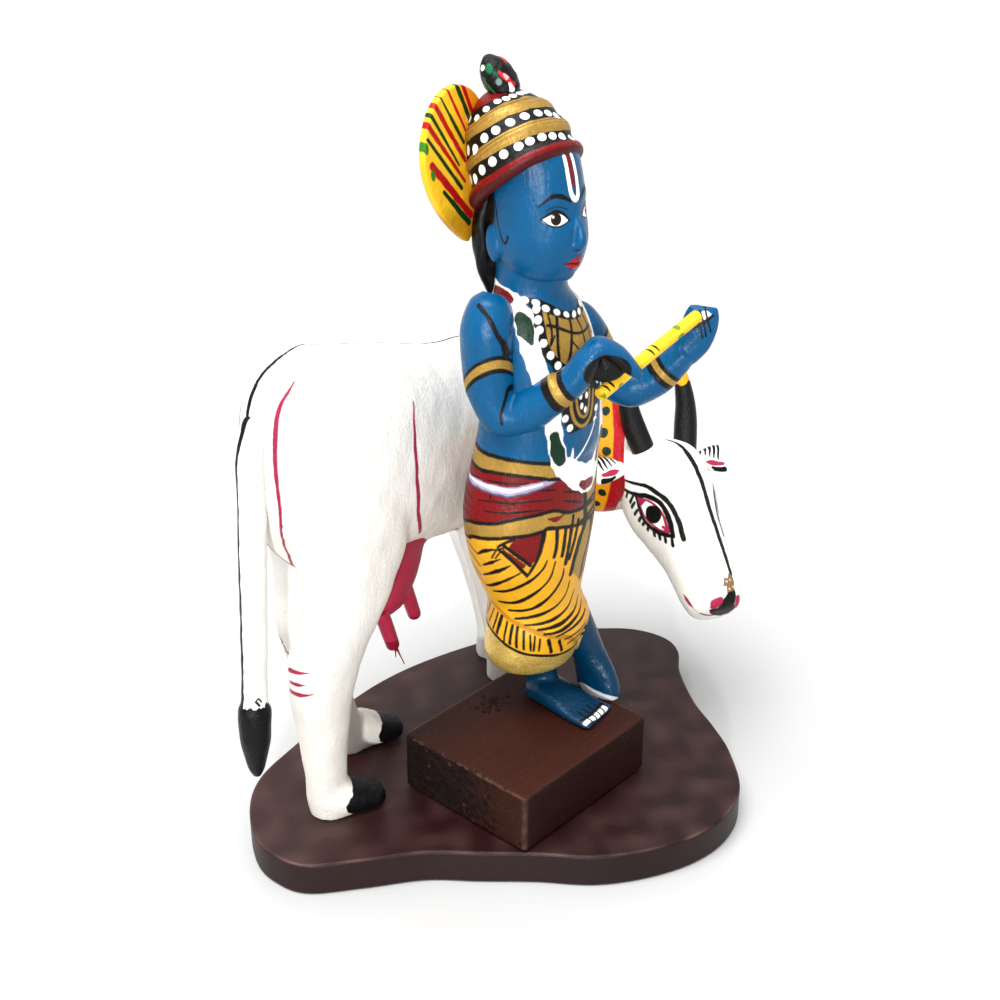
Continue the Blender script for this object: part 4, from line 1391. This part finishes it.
def paintCollar(look, points):  # bands of red and yellow with green spots round the neck
    x, y, z = points.T
    s = 0.618 * x - 0.783 * y - 0.06 * z + 0.12 * ripple(points, 2.4)
    near = (x > 40) & (y < -6) & (s < 60)
    middle = np.array([58.5, -21.0, 60.0])
    way = unit(np.array([0.618, -0.783, -0.06]))
    across = unit(np.cross(way, (0, 0, 1)))
    upward = np.cross(across, way)
    gap = points - middle
    turn = np.degrees(np.arctan2(gap @ across, gap @ upward))
    reach = np.hypot(gap @ across, gap @ upward) * math.pi / 180
    k = np.flatnonzero(near)
    for low, high, paint in ((45.0, 54.0, tint("#b3242f", 0, 0.4, 0.4)),
            (46.7, 51.0, tint("#e2a325", 0, 0.38, 0.5))):
        lay(look, k, fade(np.minimum(s[k] - low, high - s[k])), paint)
    chart = Chart(np.where(near, turn, 999.0), s, reach, 1.0, 2.5 * ripple(points, 1.2))
    for i in range(17):
        u = -172 + i * 21.2
        dot(look, chart, (u, 48.9 + 0.5 * math.sin(i * 2.4)), 2.6, 2.3, tint("#16402f", 0, 0.36, 0.7),
            20 * math.sin(i * 4.1))


def paintHooves(look, points):
    x, y, z = points.T
    for heel, toe, _, held in cow["feet"]:
        run = np.array(toe) - heel
        way = run / np.linalg.norm(run)
        s = (x - heel[0]) * way[0] + (y - heel[1]) * way[1]
        t = (x - heel[0]) * way[1] - (y - heel[1]) * way[0]
        start = held + np.interp(z, (0, 1.6, 3.6, 8.5), (6.9, 5.2, 4.5, 7.8)) + 0.25 * ripple(points, 1.1)
        k = np.flatnonzero((np.abs(t) < 7.5) & (s < 22) & (z < 9))
        lay(look, k, fade((s - start)[k]), tint("#17181b", 0, 0.42, 0.6))


def cowLook(points, normals):
    look = coated(points, paints["hide"])
    x, y, z = points.T
    wash(look, np.clip((46 - z) / 60, 0, 0.3), tint("#bdb8ac", 0, 0.56))  # dust low on the legs
    levels = np.array(cow["udder"])
    ca, ha, hl = (np.interp(z, levels[:, 2], levels[:, k]) for k in (0, 3, 4))
    outside = (np.hypot((x - ca) / ha, y / hl) - 1) * (ha + hl) / 2
    udder = np.minimum(np.minimum(1.3 - outside, z - 43), 63.4 + 0.5 * ripple(points, 1.6) - z)
    region(look, udder, tint("#b2445f", 0, 0.42, 0.3))
    under = np.minimum(np.minimum(x + 14, 13 - x) * 0.6, (-normals[:, 2] - 0.8 + 0.04 * ripple(points, 2.0)) * 14)
    region(look, np.minimum(under, 72 - z), tint("#b5627c", 0, 0.45, 0.2))
    for flip in (1, -1):
        way = np.array([1, flip, 1])
        wire(look, points, normals, np.array(cow["thigh"]) * way, (0.3, 0.7, 1.0, 1.1, 1.0, 0.8, 0.8, 0.9, 0.8),
            pink, 1.0, near=4)
        wire(look, points, normals, np.array(cow["flank"]) * way, (0.5, 0.9, 1.1, 1.1, 1.2, 1.3, 1.2, 1.0), pink,
            1.0, near=4)
    wire(look, points, normals, cow["spine"], (1.0, 1.1, 0.9, 0.5, 0.4, 0.5, 0.8, 0.8, 0.8, 0.7), ink, 1.0, near=4)
    for path, size in (
            ([(-56, -1.2, 45.2), (-55.6, -5, 45.8), (-55, -8.4, 46.5)], (1.5, 1.2, 0.3)),
            ([(-55.2, -3.2, 42.3), (-55.3, -5.2, 42.5), (-55.2, -7.0, 42.8)], (0.9, 1.2, 0.4)),
            ([(-55.1, -2.2, 39.2), (-55, -5.2, 39.5), (-54.4, -8.6, 40.1)], (1.3, 1.4, 0.3)),
            ([(-37.6, 15.2, 43.6), (-39.2, 13.6, 42.0), (-39.8, 12.3, 40.3)], (0.3, 1.0, 1.2)),
            ([(-39.6, 12.9, 39.4), (-39.7, 11.7, 38.5)], (0.7, 1.0)), ([(-39.5, 12.0, 37.4), (-39.3, 10.6, 36.7)],
                (0.9, 1.1))):
        wire(look, points, normals, path, size, pink, 1.0, near=4)
    jaw = np.clip(-normals[:, 2] * 1.1 - 0.1, 0, 0.5) * np.clip((x - 46) / 10, 0, 1)
    wash(look, jaw, tint("#958d80", 0, 0.6))
    paintCowHead(look, points, normals)
    paintCollar(look, points)
    paintHooves(look, points)
    for place, size in zip(speckPlaces, speckSizes):
        k = np.flatnonzero(np.abs(points - place).max(1) < 0.6)
        lay(look, k, fade(size - np.linalg.norm(points[k] - place, axis=1)), tint("#8d877c", 0, 0.6))
    return look


def cowLevels(rows, square=2.1):
    return [((a, b, z), (w, 0, 0), (0, h, 0), square) for a, b, z, w, h in rows]


parts = [loft([((a, 0, z), (0, w, 0), (0, 0, h), 2.15) for a, z, w, h in cow["trunk"]], 120, 160),
    loft(along(cow["neck"], (0, 0, 1)), 96, 100),
    loft([(onHead(d, 0, o), headSide * w, headFace * h, 2.1) for d, o, w, h in cow["head"]], 96, 120)]
parts += [loft(cowLevels(rows), 72, 130) for rows in cow["legs"]] + [loft(cowLevels(cow["udder"]), 64, 60)]
for heel, toe, height, held in cow["feet"]:
    stops = []
    for t, lift, wide, tall in ((0, 0.5, 0.8, 0.5), (0.3, 0.5, 1, 0.5), (0.62, 0.36, 1, 0.36),
            (0.92, 0.27, 0.85, 0.27), (1, 0.22, 0.6, 0.2)):
        place = np.array(heel) + (np.array(toe) - heel) * t
        stops.append(((*place, height * lift - 0.4), 5 * wide, height * tall))
    parts.append(loft(along(stops, (0, 0, 1), 2.8), 64, 50))
points, faces = melt(parts, cow["voxel"], 8, cutBelow=0.0)
flat = points[:, 2] < 0.02
lift = cow["lumps"] * (ripple(points, 4.0) + 0.6 * ripple(points[:, [1, 2, 0]], 7.3))
points = points + pointNormals(points, faces) * np.where(flat, 0, lift)[:, None]
points[:, 2] = np.maximum(points[:, 2], 0)
chance = np.random.default_rng(11)
speckPlaces = points[chance.integers(0, len(points), cow["specks"])]
speckSizes = chance.uniform(0.05, 0.22, cow["specks"])
gesso = {**enamel, "streakScale": 420.0, "streakStretch": (1, 1, 0.35), "streakDepth": 0.03, "mottleScale": 75.0,
    "mottleDepth": 0.035, "grainScale": 1500.0, "coat": 0.1, "grainHeight": 0.22, "streakHeight": 0.3,
    "mottleHeight": 0.5, "specular": 0.15}
whiteMaterial = paintMaterial("white_paint", gesso)
makePiece("cow_body_painted", points, faces, *onCow, cowLook, whiteMaterial, ["cow_body"], "white_paint",
    finest=cow["finest"])

# Horns, ears, tail and teats

extras = {
    "hornLength": 21.0,
    "horn": [(-0.04, -0.12, -0.04, 1), (0.05, 0.22, 0.09, 0.98), (0.09, 0.48, 0.17, 0.85), (0.08, 0.72, 0.23, 0.7),
        (0.04, 0.92, 0.26, 0.5), (0.02, 0.97, 0.26, 0.26)],
    "tipFrom": 0.8,  # the yellow tip starts here along the horn
    "earLength": 10.5, "ear": [(0, 0.16, 0.1), (0.35, 0.3, 0.15), (0.7, 0.4, 0.16), (0.93, 0.38, 0.12),
        (1, 0.26, 0.07)],
    "tail": [(-54, 110, 0.8), (-58, 107.5, 1), (-60.2, 101, 1), (-60.8, 91, 1), (-62, 77.5, 1), (-63.6, 58, 0.95),
        (-65, 42.5, 0.95), (-65.4, 38.5, 1.2), (-65.9, 31, 1.1), (-66.2, 24, 0.65), (-66.3, 21, 0.25)],
    "tailHalf": 3.2, "brushFrom": 41.2, "lineTurn": 142.0,
    "teats": [(-9.5, -3.5, 45), (-22, -5.5, 43), (-9.5, 4, 45), (-20, 4.5, 43.5)],
    "teatLean": (0.35, 0, -0.94), "teatLength": 10.8,
    "teat": [(-0.28, 1.9), (0.3, 1.88), (0.7, 1.8), (0.9, 1.74), (0.97, 1.5), (1, 1.0)],
}


def hornLook(points, normals):
    look = coated(points, tint("#121315", 0, 0.35, 0.2))
    edge = headPoll[2] + extras["hornLength"] * extras["tipFrom"] - 4.8
    tip = points[:, 2] - edge - 0.9 * ripple(points, 1.3)
    region(look, tip, tint("#e0ae24", 0, 0.4, 0.5))
    return look


blackMaterial = paintMaterial("horn_black", {**enamel, "grainHeight": 0.2, "mottleHeight": 0.3,
    "streakDepth": 0.12})
for side, name in ((-1, "right"), (1, "left")):
    root = onHead(0, side * 7, -4)
    back = unit(headFace * (1, 1, 0))
    stops = []
    for out, up, behind, thick in extras["horn"]:
        place = root + headSide * side * out * extras["hornLength"] - back * behind * extras["hornLength"]
        stops.append((place + (0, 0, up * extras["hornLength"]), thick * 3.2, thick * 3.2))
    makePiece(f"cow_{name}_horn_painted", *melt([loft(along(stops, headFace), 64, 120)], 0.4), *onCow, hornLook,
        blackMaterial, [f"cow_{name}_horn"], "black_paint")


def earLook(points, normals):
    look = coated(points, paints["hide"])
    q = points - headPoll
    front = normals @ headFace > 0.1
    chart = Chart(np.where(front, np.abs(q @ headSide), 999.0), q @ headDown, 1.0, 1.0, ripple(points, 1.4))
    for k in range(5):
        low = (13.0 + 1.3 * k, 2.0 + 0.55 * k)
        stroke(look, chart, [low, (low[0] + 1.5, -0.9 + 0.12 * k)], (0.35, 0.75, 0.8), ink)
    patch(look, chart, [(13.6, 4.6), (16, 4.2), (17.8, 4.8), (19.5, 5.3), (19, 6.2), (15.4, 5.9)], pink)
    stroke(look, chart, [(15.4, 6.3), (17.2, 7.1), (19.3, 7.3)], (0.5, 1.0, 1.3), ink)
    return look


for side, name in ((-1, "right"), (1, "left")):
    root = onHead(3.5, side * 11, -9)
    stops = [(root + headSide * side * t * extras["earLength"], tall * extras["earLength"],
        thin * extras["earLength"]) for t, tall, thin in extras["ear"]]
    points, faces = melt([loft(along(stops, headFace), 64, 70)], 0.3)
    q = points - root
    hollow = 0.9 * np.exp(-((q @ headDown) / 2.0) ** 2 - ((np.abs(q @ headSide) - 7.0) / 3.2) ** 2)
    normals = pointNormals(points, faces)
    points = points - headFace * (hollow * (normals @ headFace > 0))[:, None]
    makePiece(f"cow_{name}_ear_painted", points, faces, *onCow, earLook, whiteMaterial, [f"cow_{name}_ear"],
        "white_paint")


def tailLook(points, normals):
    look = coated(points, paints["hide"])
    x, y, z = points.T
    tail = np.array(extras["tail"])[::-1]
    middle = np.interp(z, tail[:, 1], tail[:, 0])
    turn = (np.degrees(np.arctan2(y, x - middle)) + 360) % 360
    chart = Chart(turn, z, 3.2 * math.pi / 180, 1.0, ripple(points, 1.4))
    line = extras["lineTurn"]
    stroke(look, chart, [(176, 110.5), (172, 107), (160, 103), (line + 8, 99), (line, 90), (line, 70), (line, 50),
        (line, 40)], (0.8, 0.9, 1.0, 1.2, 1.5, 1.9, 2.3, 2.4), ink)
    edge = extras["brushFrom"] + 0.5 * ripple(points, 0.8) + 0.25 * ripple(points, 0.35)
    region(look, edge - z, tint("#111316", 0, 0.34, 0.8))
    stroke(look, chart, [(250, 42.6), (236, 43.6), (222, 42.8)], 0.35, ink)
    stroke(look, chart, [(240, 41.8), (230, 42.6)], 0.5, ink)
    return look


stops = [((a, 0, z), extras["tailHalf"] * size, extras["tailHalf"] * size) for a, z, size in extras["tail"]]
points, faces = melt([loft(along(stops, (0, 1, 0.01)), 64, 200)], 0.42)
points = points + pointNormals(points, faces) * (0.09 * ripple(points, 2.6))[:, None]
makePiece("cow_tail_painted", points, faces, *onCow, tailLook, whiteMaterial, ["cow_tail"], "white_paint")


def teatLook(points, normals):
    look = coated(points, tint("#b4415c", 0, 0.36, 0.3))
    region(look, 36.0 - points[:, 2], tint("#98263f", 0, 0.3, 0.5))
    return look


teatMaterial = paintMaterial("teat_crimson", {**enamel, "streakDepth": 0.1})
lean = unit(np.array(extras["teatLean"]))
for i, place in enumerate(extras["teats"]):
    place = np.array(place)
    stops = [(place + lean * extras["teatLength"] * t, r, r) for t, r in extras["teat"]]
    parts = [loft(along(stops, (0, 1, 0)), 48, 60)]
    if i == 1:  # two strands of paint hang from this one
        end = place + lean * (extras["teatLength"] - 0.4)
        for first, last in (((-0.4, -0.9, 0), (-0.3, -0.9, -2.9)), ((0.2, -0.6, 0), (2.2, -1.7, -6.0))):
            stops = [(end + np.array(first), 0.45, 0.45), (end + (np.array(first) + last) / 2, 0.2, 0.2),
                (end + np.array(last), 0.16, 0.16)]
            parts.append(loft(along(stops, (0, 1, 0)), 24, 40))
    makePiece(f"cow_teat_{i + 1}_painted", *melt(parts, 0.14 if i == 1 else 0.24, 2), *onCow, teatLook,
        teatMaterial, [f"cow_teat_{i + 1}"], "crimson_paint", 1)

# Block under the figure and the base board, in millimetres

block = {"centre": (-7.6, -6.3), "length": 46.8, "width": 40.4, "foot": 9.3, "height": 15.7, "edge": 0.6,
    "voxel": 0.53, "pits": 900, "pitDepth": 0.42}
board = {
    "length": 142.5, "width": 107.0, "thickness": 9.0, "edge": 0.9, "sides": 360, "rings": 56,
    "outline": [(-0.88, 0.7), (-0.98, 0.5), (-1, 0.34), (-0.965, 0.19), (-0.82, 0.03), (-0.65, -0.14),
        (-0.53, -0.33), (-0.4, -0.53), (-0.28, -0.74), (-0.13, -0.89), (0.04, -0.985), (0.21, -1), (0.37, -0.92),
        (0.52, -0.72), (0.61, -0.54), (0.7, -0.33), (0.84, -0.1), (0.96, 0.03), (1, 0.16), (0.97, 0.33),
        (0.88, 0.48), (0.69, 0.74), (0.45, 0.88), (0.18, 0.975), (-0.05, 1), (-0.3, 0.965), (-0.56, 0.9),
        (-0.75, 0.83)],
}
print("block and board")
half = np.array([block["length"], block["width"]]) / 2 - block["edge"]
corners = []
for sx, sy, start in ((1, 1, 0), (-1, 1, 90), (-1, -1, 180), (1, -1, 270)):
    for turn in np.radians(start + np.linspace(0, 90, 6)):
        corners.append((sx * (half[0] - 0.6) + 0.6 * math.cos(turn), sy * (half[1] - 0.6) + 0.6 * math.sin(turn)))
points, faces = melt([plate(corners, roundedDepths(block["height"], block["edge"], 4))], block["voxel"], 2)
points += (*block["centre"], block["foot"])
normals = pointNormals(points, faces)
chance = np.random.default_rng(5)
pitPlaces, pitSizes = [], []
while len(pitPlaces) < block["pits"]:
    y, z = chance.uniform(-26.5, 13.9), chance.uniform(9.3, 25)
    if chance.random() < np.clip((y + 19) / 16, 0.03, 1):
        pitPlaces.append((-31.0, y, z))
        pitSizes.append(chance.uniform(0.25, 0.75))
for i in range(70):  # a rough spot by the heel and nicks along the upper edge
    x, y = (chance.normal(-6.5, 2.6), chance.normal(7.0, 1.8)) if i < 42 else (-30.6, chance.uniform(-22, 13))
    pitPlaces.append((x, y, 25.0))
    pitSizes.append(chance.uniform(0.3, 0.7))


def pitCover(points, reach):  # how near every point lies to the middle of a pit, from 0 to 1
    cover = np.zeros(len(points))
    for face in (np.flatnonzero(points[:, 0] < -30), np.flatnonzero(points[:, 2] > 24)):
        face = face[np.argsort(points[face, 1])]
        y = points[face, 1]
        for place, size in zip(pitPlaces, pitSizes):
            k = face[np.searchsorted(y, place[1] - size * reach):np.searchsorted(y, place[1] + size * reach)]
            d = np.linalg.norm(points[k] - place, axis=1) / size
            cover[k] = np.maximum(cover[k], np.clip(reach - d, 0, None) * size / 0.75)
    return cover


sink = 1.6 * np.clip(pitCover(points, 1.2) - 0.1, 0, 0.7)
wave = 0.06 * ripple(points, 4.5)
points = points - normals * (sink * block["pitDepth"] - wave)[:, None]


def blockLook(points, normals):
    look = coated(points, tint("#472519", 0, 0.5))
    x, y, z = points.T
    end = np.clip(-normals[:, 0] * 3 - 1.2, 0, 1) * (np.clip((y + 18) / 12, 0, 1) * 0.7 + 0.3)
    wash(look, end, tint("#2e1a14", 0, 0.75))
    wash(look, np.clip(-normals[:, 1] * 3 - 1.2, 0, 1) * 0.8, tint("#2b1410", 0, 0.5))
    wash(look, np.clip((z - 24.6) * 3, 0, 1) * np.clip((y - 2) / 14, 0, 0.6), tint("#3c2a22", 0, 0.55))
    wash(look, np.clip(pitCover(points, 1.0) * 3, 0, 0.75), tint("#120a08", 0, 0.85))
    crumbs = ripple(points, 0.42) * ripple(points[:, [2, 0, 1]], 0.31) - 0.5
    wash(look, np.clip(crumbs * 4, 0, 0.5) * end, tint("#7c5a41", 0, 0.7))
    # worn upper edges and the worn corner
    rubbed = np.maximum(np.clip(1 - np.abs(z - 24.8) / 0.5, 0, 1) * np.clip(1 - np.abs(y - 13.8) / 0.8, 0, 1),
        np.clip(1 - np.abs(z - 24.8) / 0.45, 0, 1) * np.clip(1 - np.abs(x + 30.9) / 0.5, 0, 1) * 0.7)
    rubbed = np.maximum(rubbed, np.clip(1 - np.hypot(x + 30.8, y + 26.3) / 1.1, 0, 1) * 0.6)
    wash(look, rubbed * np.clip(0.55 + 0.5 * ripple(points, 1.8), 0, 0.8), tint("#7d6358", 0, 0.6))
    return look


wood = {**enamel, "streakScale": 700.0, "streakStretch": (0.07, 1, 1), "streakDepth": 0.2, "mottleScale": 60.0,
        "mottleDepth": 0.14, "grainScale": 2400.0, "roughDepth": 0.14, "grainHeight": 0.22, "streakHeight": 0.22,
        "mottleHeight": 0.2, "specular": 0.14, "speckAmount": 0.18, "speckScale": 2600.0,
        "speckFrom": 0.7, "speckColour": "#9a8f88"}
makePiece("figure_block_painted", points, faces, *onBoard, blockLook, paintMaterial("brown_paint", wood),
    ["figure_block"], "brown_paint", 1)

shares = np.linspace(0, 1, board["sides"] + 1)[:-1]
loop = np.array(board["outline"]) * ((board["length"] - 2 * board["edge"]) / 2,
    (board["width"] - 2 * board["edge"]) / 2)
outline = curveAt(np.vstack([loop[-2:], loop, loop[:3]]), (2 + shares * len(loop)) / (len(loop) + 4))
points, faces = plate(outline, roundedDepths(board["thickness"], board["edge"], 7))
sides = len(outline)
top = len(points) - 2 - sides  # the uppermost ring
middle = points[top:top + sides].mean(0)
faces = faces[~(faces == len(points) - 1).any(1)]
count = board["rings"]
inner = [middle + (points[top:top + sides] - middle) * (1 - k / count) for k in range(1, count)]
start = len(points)
points = np.vstack([points] + inner)
i = np.arange(sides)
following = (i + 1) % sides
rows = [top] + [start + k * sides for k in range(count - 1)]
lid = []
for a, b in zip(rows[:-1], rows[1:]):
    lid += [np.stack([i + a, following + a, following + b], 1), np.stack([i + a, following + b, i + b], 1)]
lid.append(np.stack([i + rows[-1], following + rows[-1], np.full(sides, start - 1)], 1))
points, faces = outward(points, np.concatenate([faces] + lid))
points[:, 2] += np.where(points[:, 2] > 8.9, 0.03 * ripple(points, 7.0) - 0.03, 0)


def boardLook(points, normals):
    look = coated(points, tint("#3a1c1d", 0, 0.42))
    x, y, z = points.T
    wash(look, np.clip(0.25 + 0.05 * ripple(points, 21.0), 0, 0.5), tint("#2f1415", 0, 0.4))
    wash(look, np.clip(1 - normals[:, 2] * 1.6, 0, 1) * 0.75, tint("#331c1a", 0, 0.5))
    haze = np.clip((y - 5) / 60, 0, 0.16) * np.clip(normals[:, 2], 0, 1)
    wash(look, haze, tint("#6f5c58", 0, 0.45))
    wash(look, np.clip((-y - 22) / 40, 0, 0.5), tint("#2a1515", 0, 0.42))
    edge = np.clip(1 - np.abs(z - 8.75) / 0.3, 0, 1) * np.clip(0.25 + 0.4 * ripple(points, 5.0), 0, 0.6)
    wash(look, edge, tint("#8a6f69", 0, 0.5))
    for place, size in (((-33.5, 36), (1.6, 4.5)), ((-29, 43.5), (3, 1)), ((-30.5, 30.5), (1, 2.4))):
        cover = np.exp(-((x - place[0]) / size[0]) ** 2 - ((y - place[1]) / size[1]) ** 2) * (z > 8)
        wash(look, cover * np.clip(0.5 + 0.5 * ripple(points, 2.0), 0, 0.8), tint("#6d1f1c", 0, 0.35))
    return look


maroon = {**wood, "streakScale": 260.0, "streakStretch": (0.2, 1, 1), "streakDepth": 0.08, "mottleDepth": 0.06,
    "grainHeight": 0.1, "streakHeight": 0.03, "mottleHeight": 0.04, "roughDepth": 0.08, "specular": 0.2,
    "speckAmount": 0.06, "speckScale": 1900.0}
makePiece("base_board_painted", points, faces, *onBoard, boardLook, paintMaterial("maroon_paint", maroon),
    ["base_board"], "maroon_paint", 2)

# Camera, floor and light
stage = {"floorSize": 30.0, "floorShade": 0.46, "floorRough": 0.32, "lens": 57.6,
    "eye": (-0.26096, -0.22536, 0.25738), "heading": -48.03, "down": 26.757}
camera = bpy.data.objects.new("camera", bpy.data.cameras.new("camera"))
camera.data.lens = stage["lens"]
camera.data.sensor_width = 36.0
camera.data.clip_start = 0.01
camera.location = stage["eye"]
camera.rotation_euler = (math.radians(90 - stage["down"]), 0, math.radians(stage["heading"]))
bpy.context.collection.objects.link(camera)
bpy.context.scene.camera = camera

half = stage["floorSize"] / 2
floorMesh = bpy.data.meshes.new("floor")
floorMesh.from_pydata([(-half, -half, 0), (half, -half, 0), (half, half, 0), (-half, half, 0)], [], [(0, 1, 2, 3)])
floor = bpy.data.objects.new("floor", floorMesh)
bpy.context.collection.objects.link(floor)
pale = bpy.data.materials.new("floor")
pale.use_nodes = True
shader = pale.node_tree.nodes["Principled BSDF"]
shader.inputs["Base Color"].default_value = (*[stage["floorShade"]] * 3, 1)
shader.inputs["Roughness"].default_value = stage["floorRough"]
floorMesh.materials.append(pale)

bpy.context.scene.view_settings.view_transform = "Standard"
light = {"glintPower": 2.3, "glintSoftness": 3.0, "glintFrom": (-0.78, -0.6, 0.2), "sky": 1.2, "horizon": 0.62,
    "sunPower": 4.2, "sunSoftness": 40.0, "sunFrom": (-0.32, 0.02, 0.95)}
world = bpy.data.worlds.new("world")
bpy.context.scene.world = world
world.use_nodes = True
tree = world.node_tree
place, split = tree.nodes.new("ShaderNodeTexCoord"), tree.nodes.new("ShaderNodeSeparateXYZ")
rise = tree.nodes.new("ShaderNodeMapRange")
rise.inputs["To Min"].default_value = light["horizon"]
rise.inputs["To Max"].default_value = light["sky"]
sky = tree.nodes["Background"]
sky.inputs["Color"].default_value = (1, 1, 1, 1)
link(tree, (place.outputs["Generated"], split.inputs[0]), (split.outputs["Z"], rise.inputs["Value"]),
     (rise.outputs[0], sky.inputs["Strength"]))
for name in ("sun", "glint"):
    lamp = bpy.data.lights.new(name, "SUN")
    lamp.energy = light[name + "Power"]
    lamp.angle = math.radians(light[name + "Softness"])
    sun = bpy.data.objects.new(name, lamp)
    sun.rotation_euler = Vector(light[name + "From"]).to_track_quat("Z", "Y").to_euler()
    bpy.context.collection.objects.link(sun)
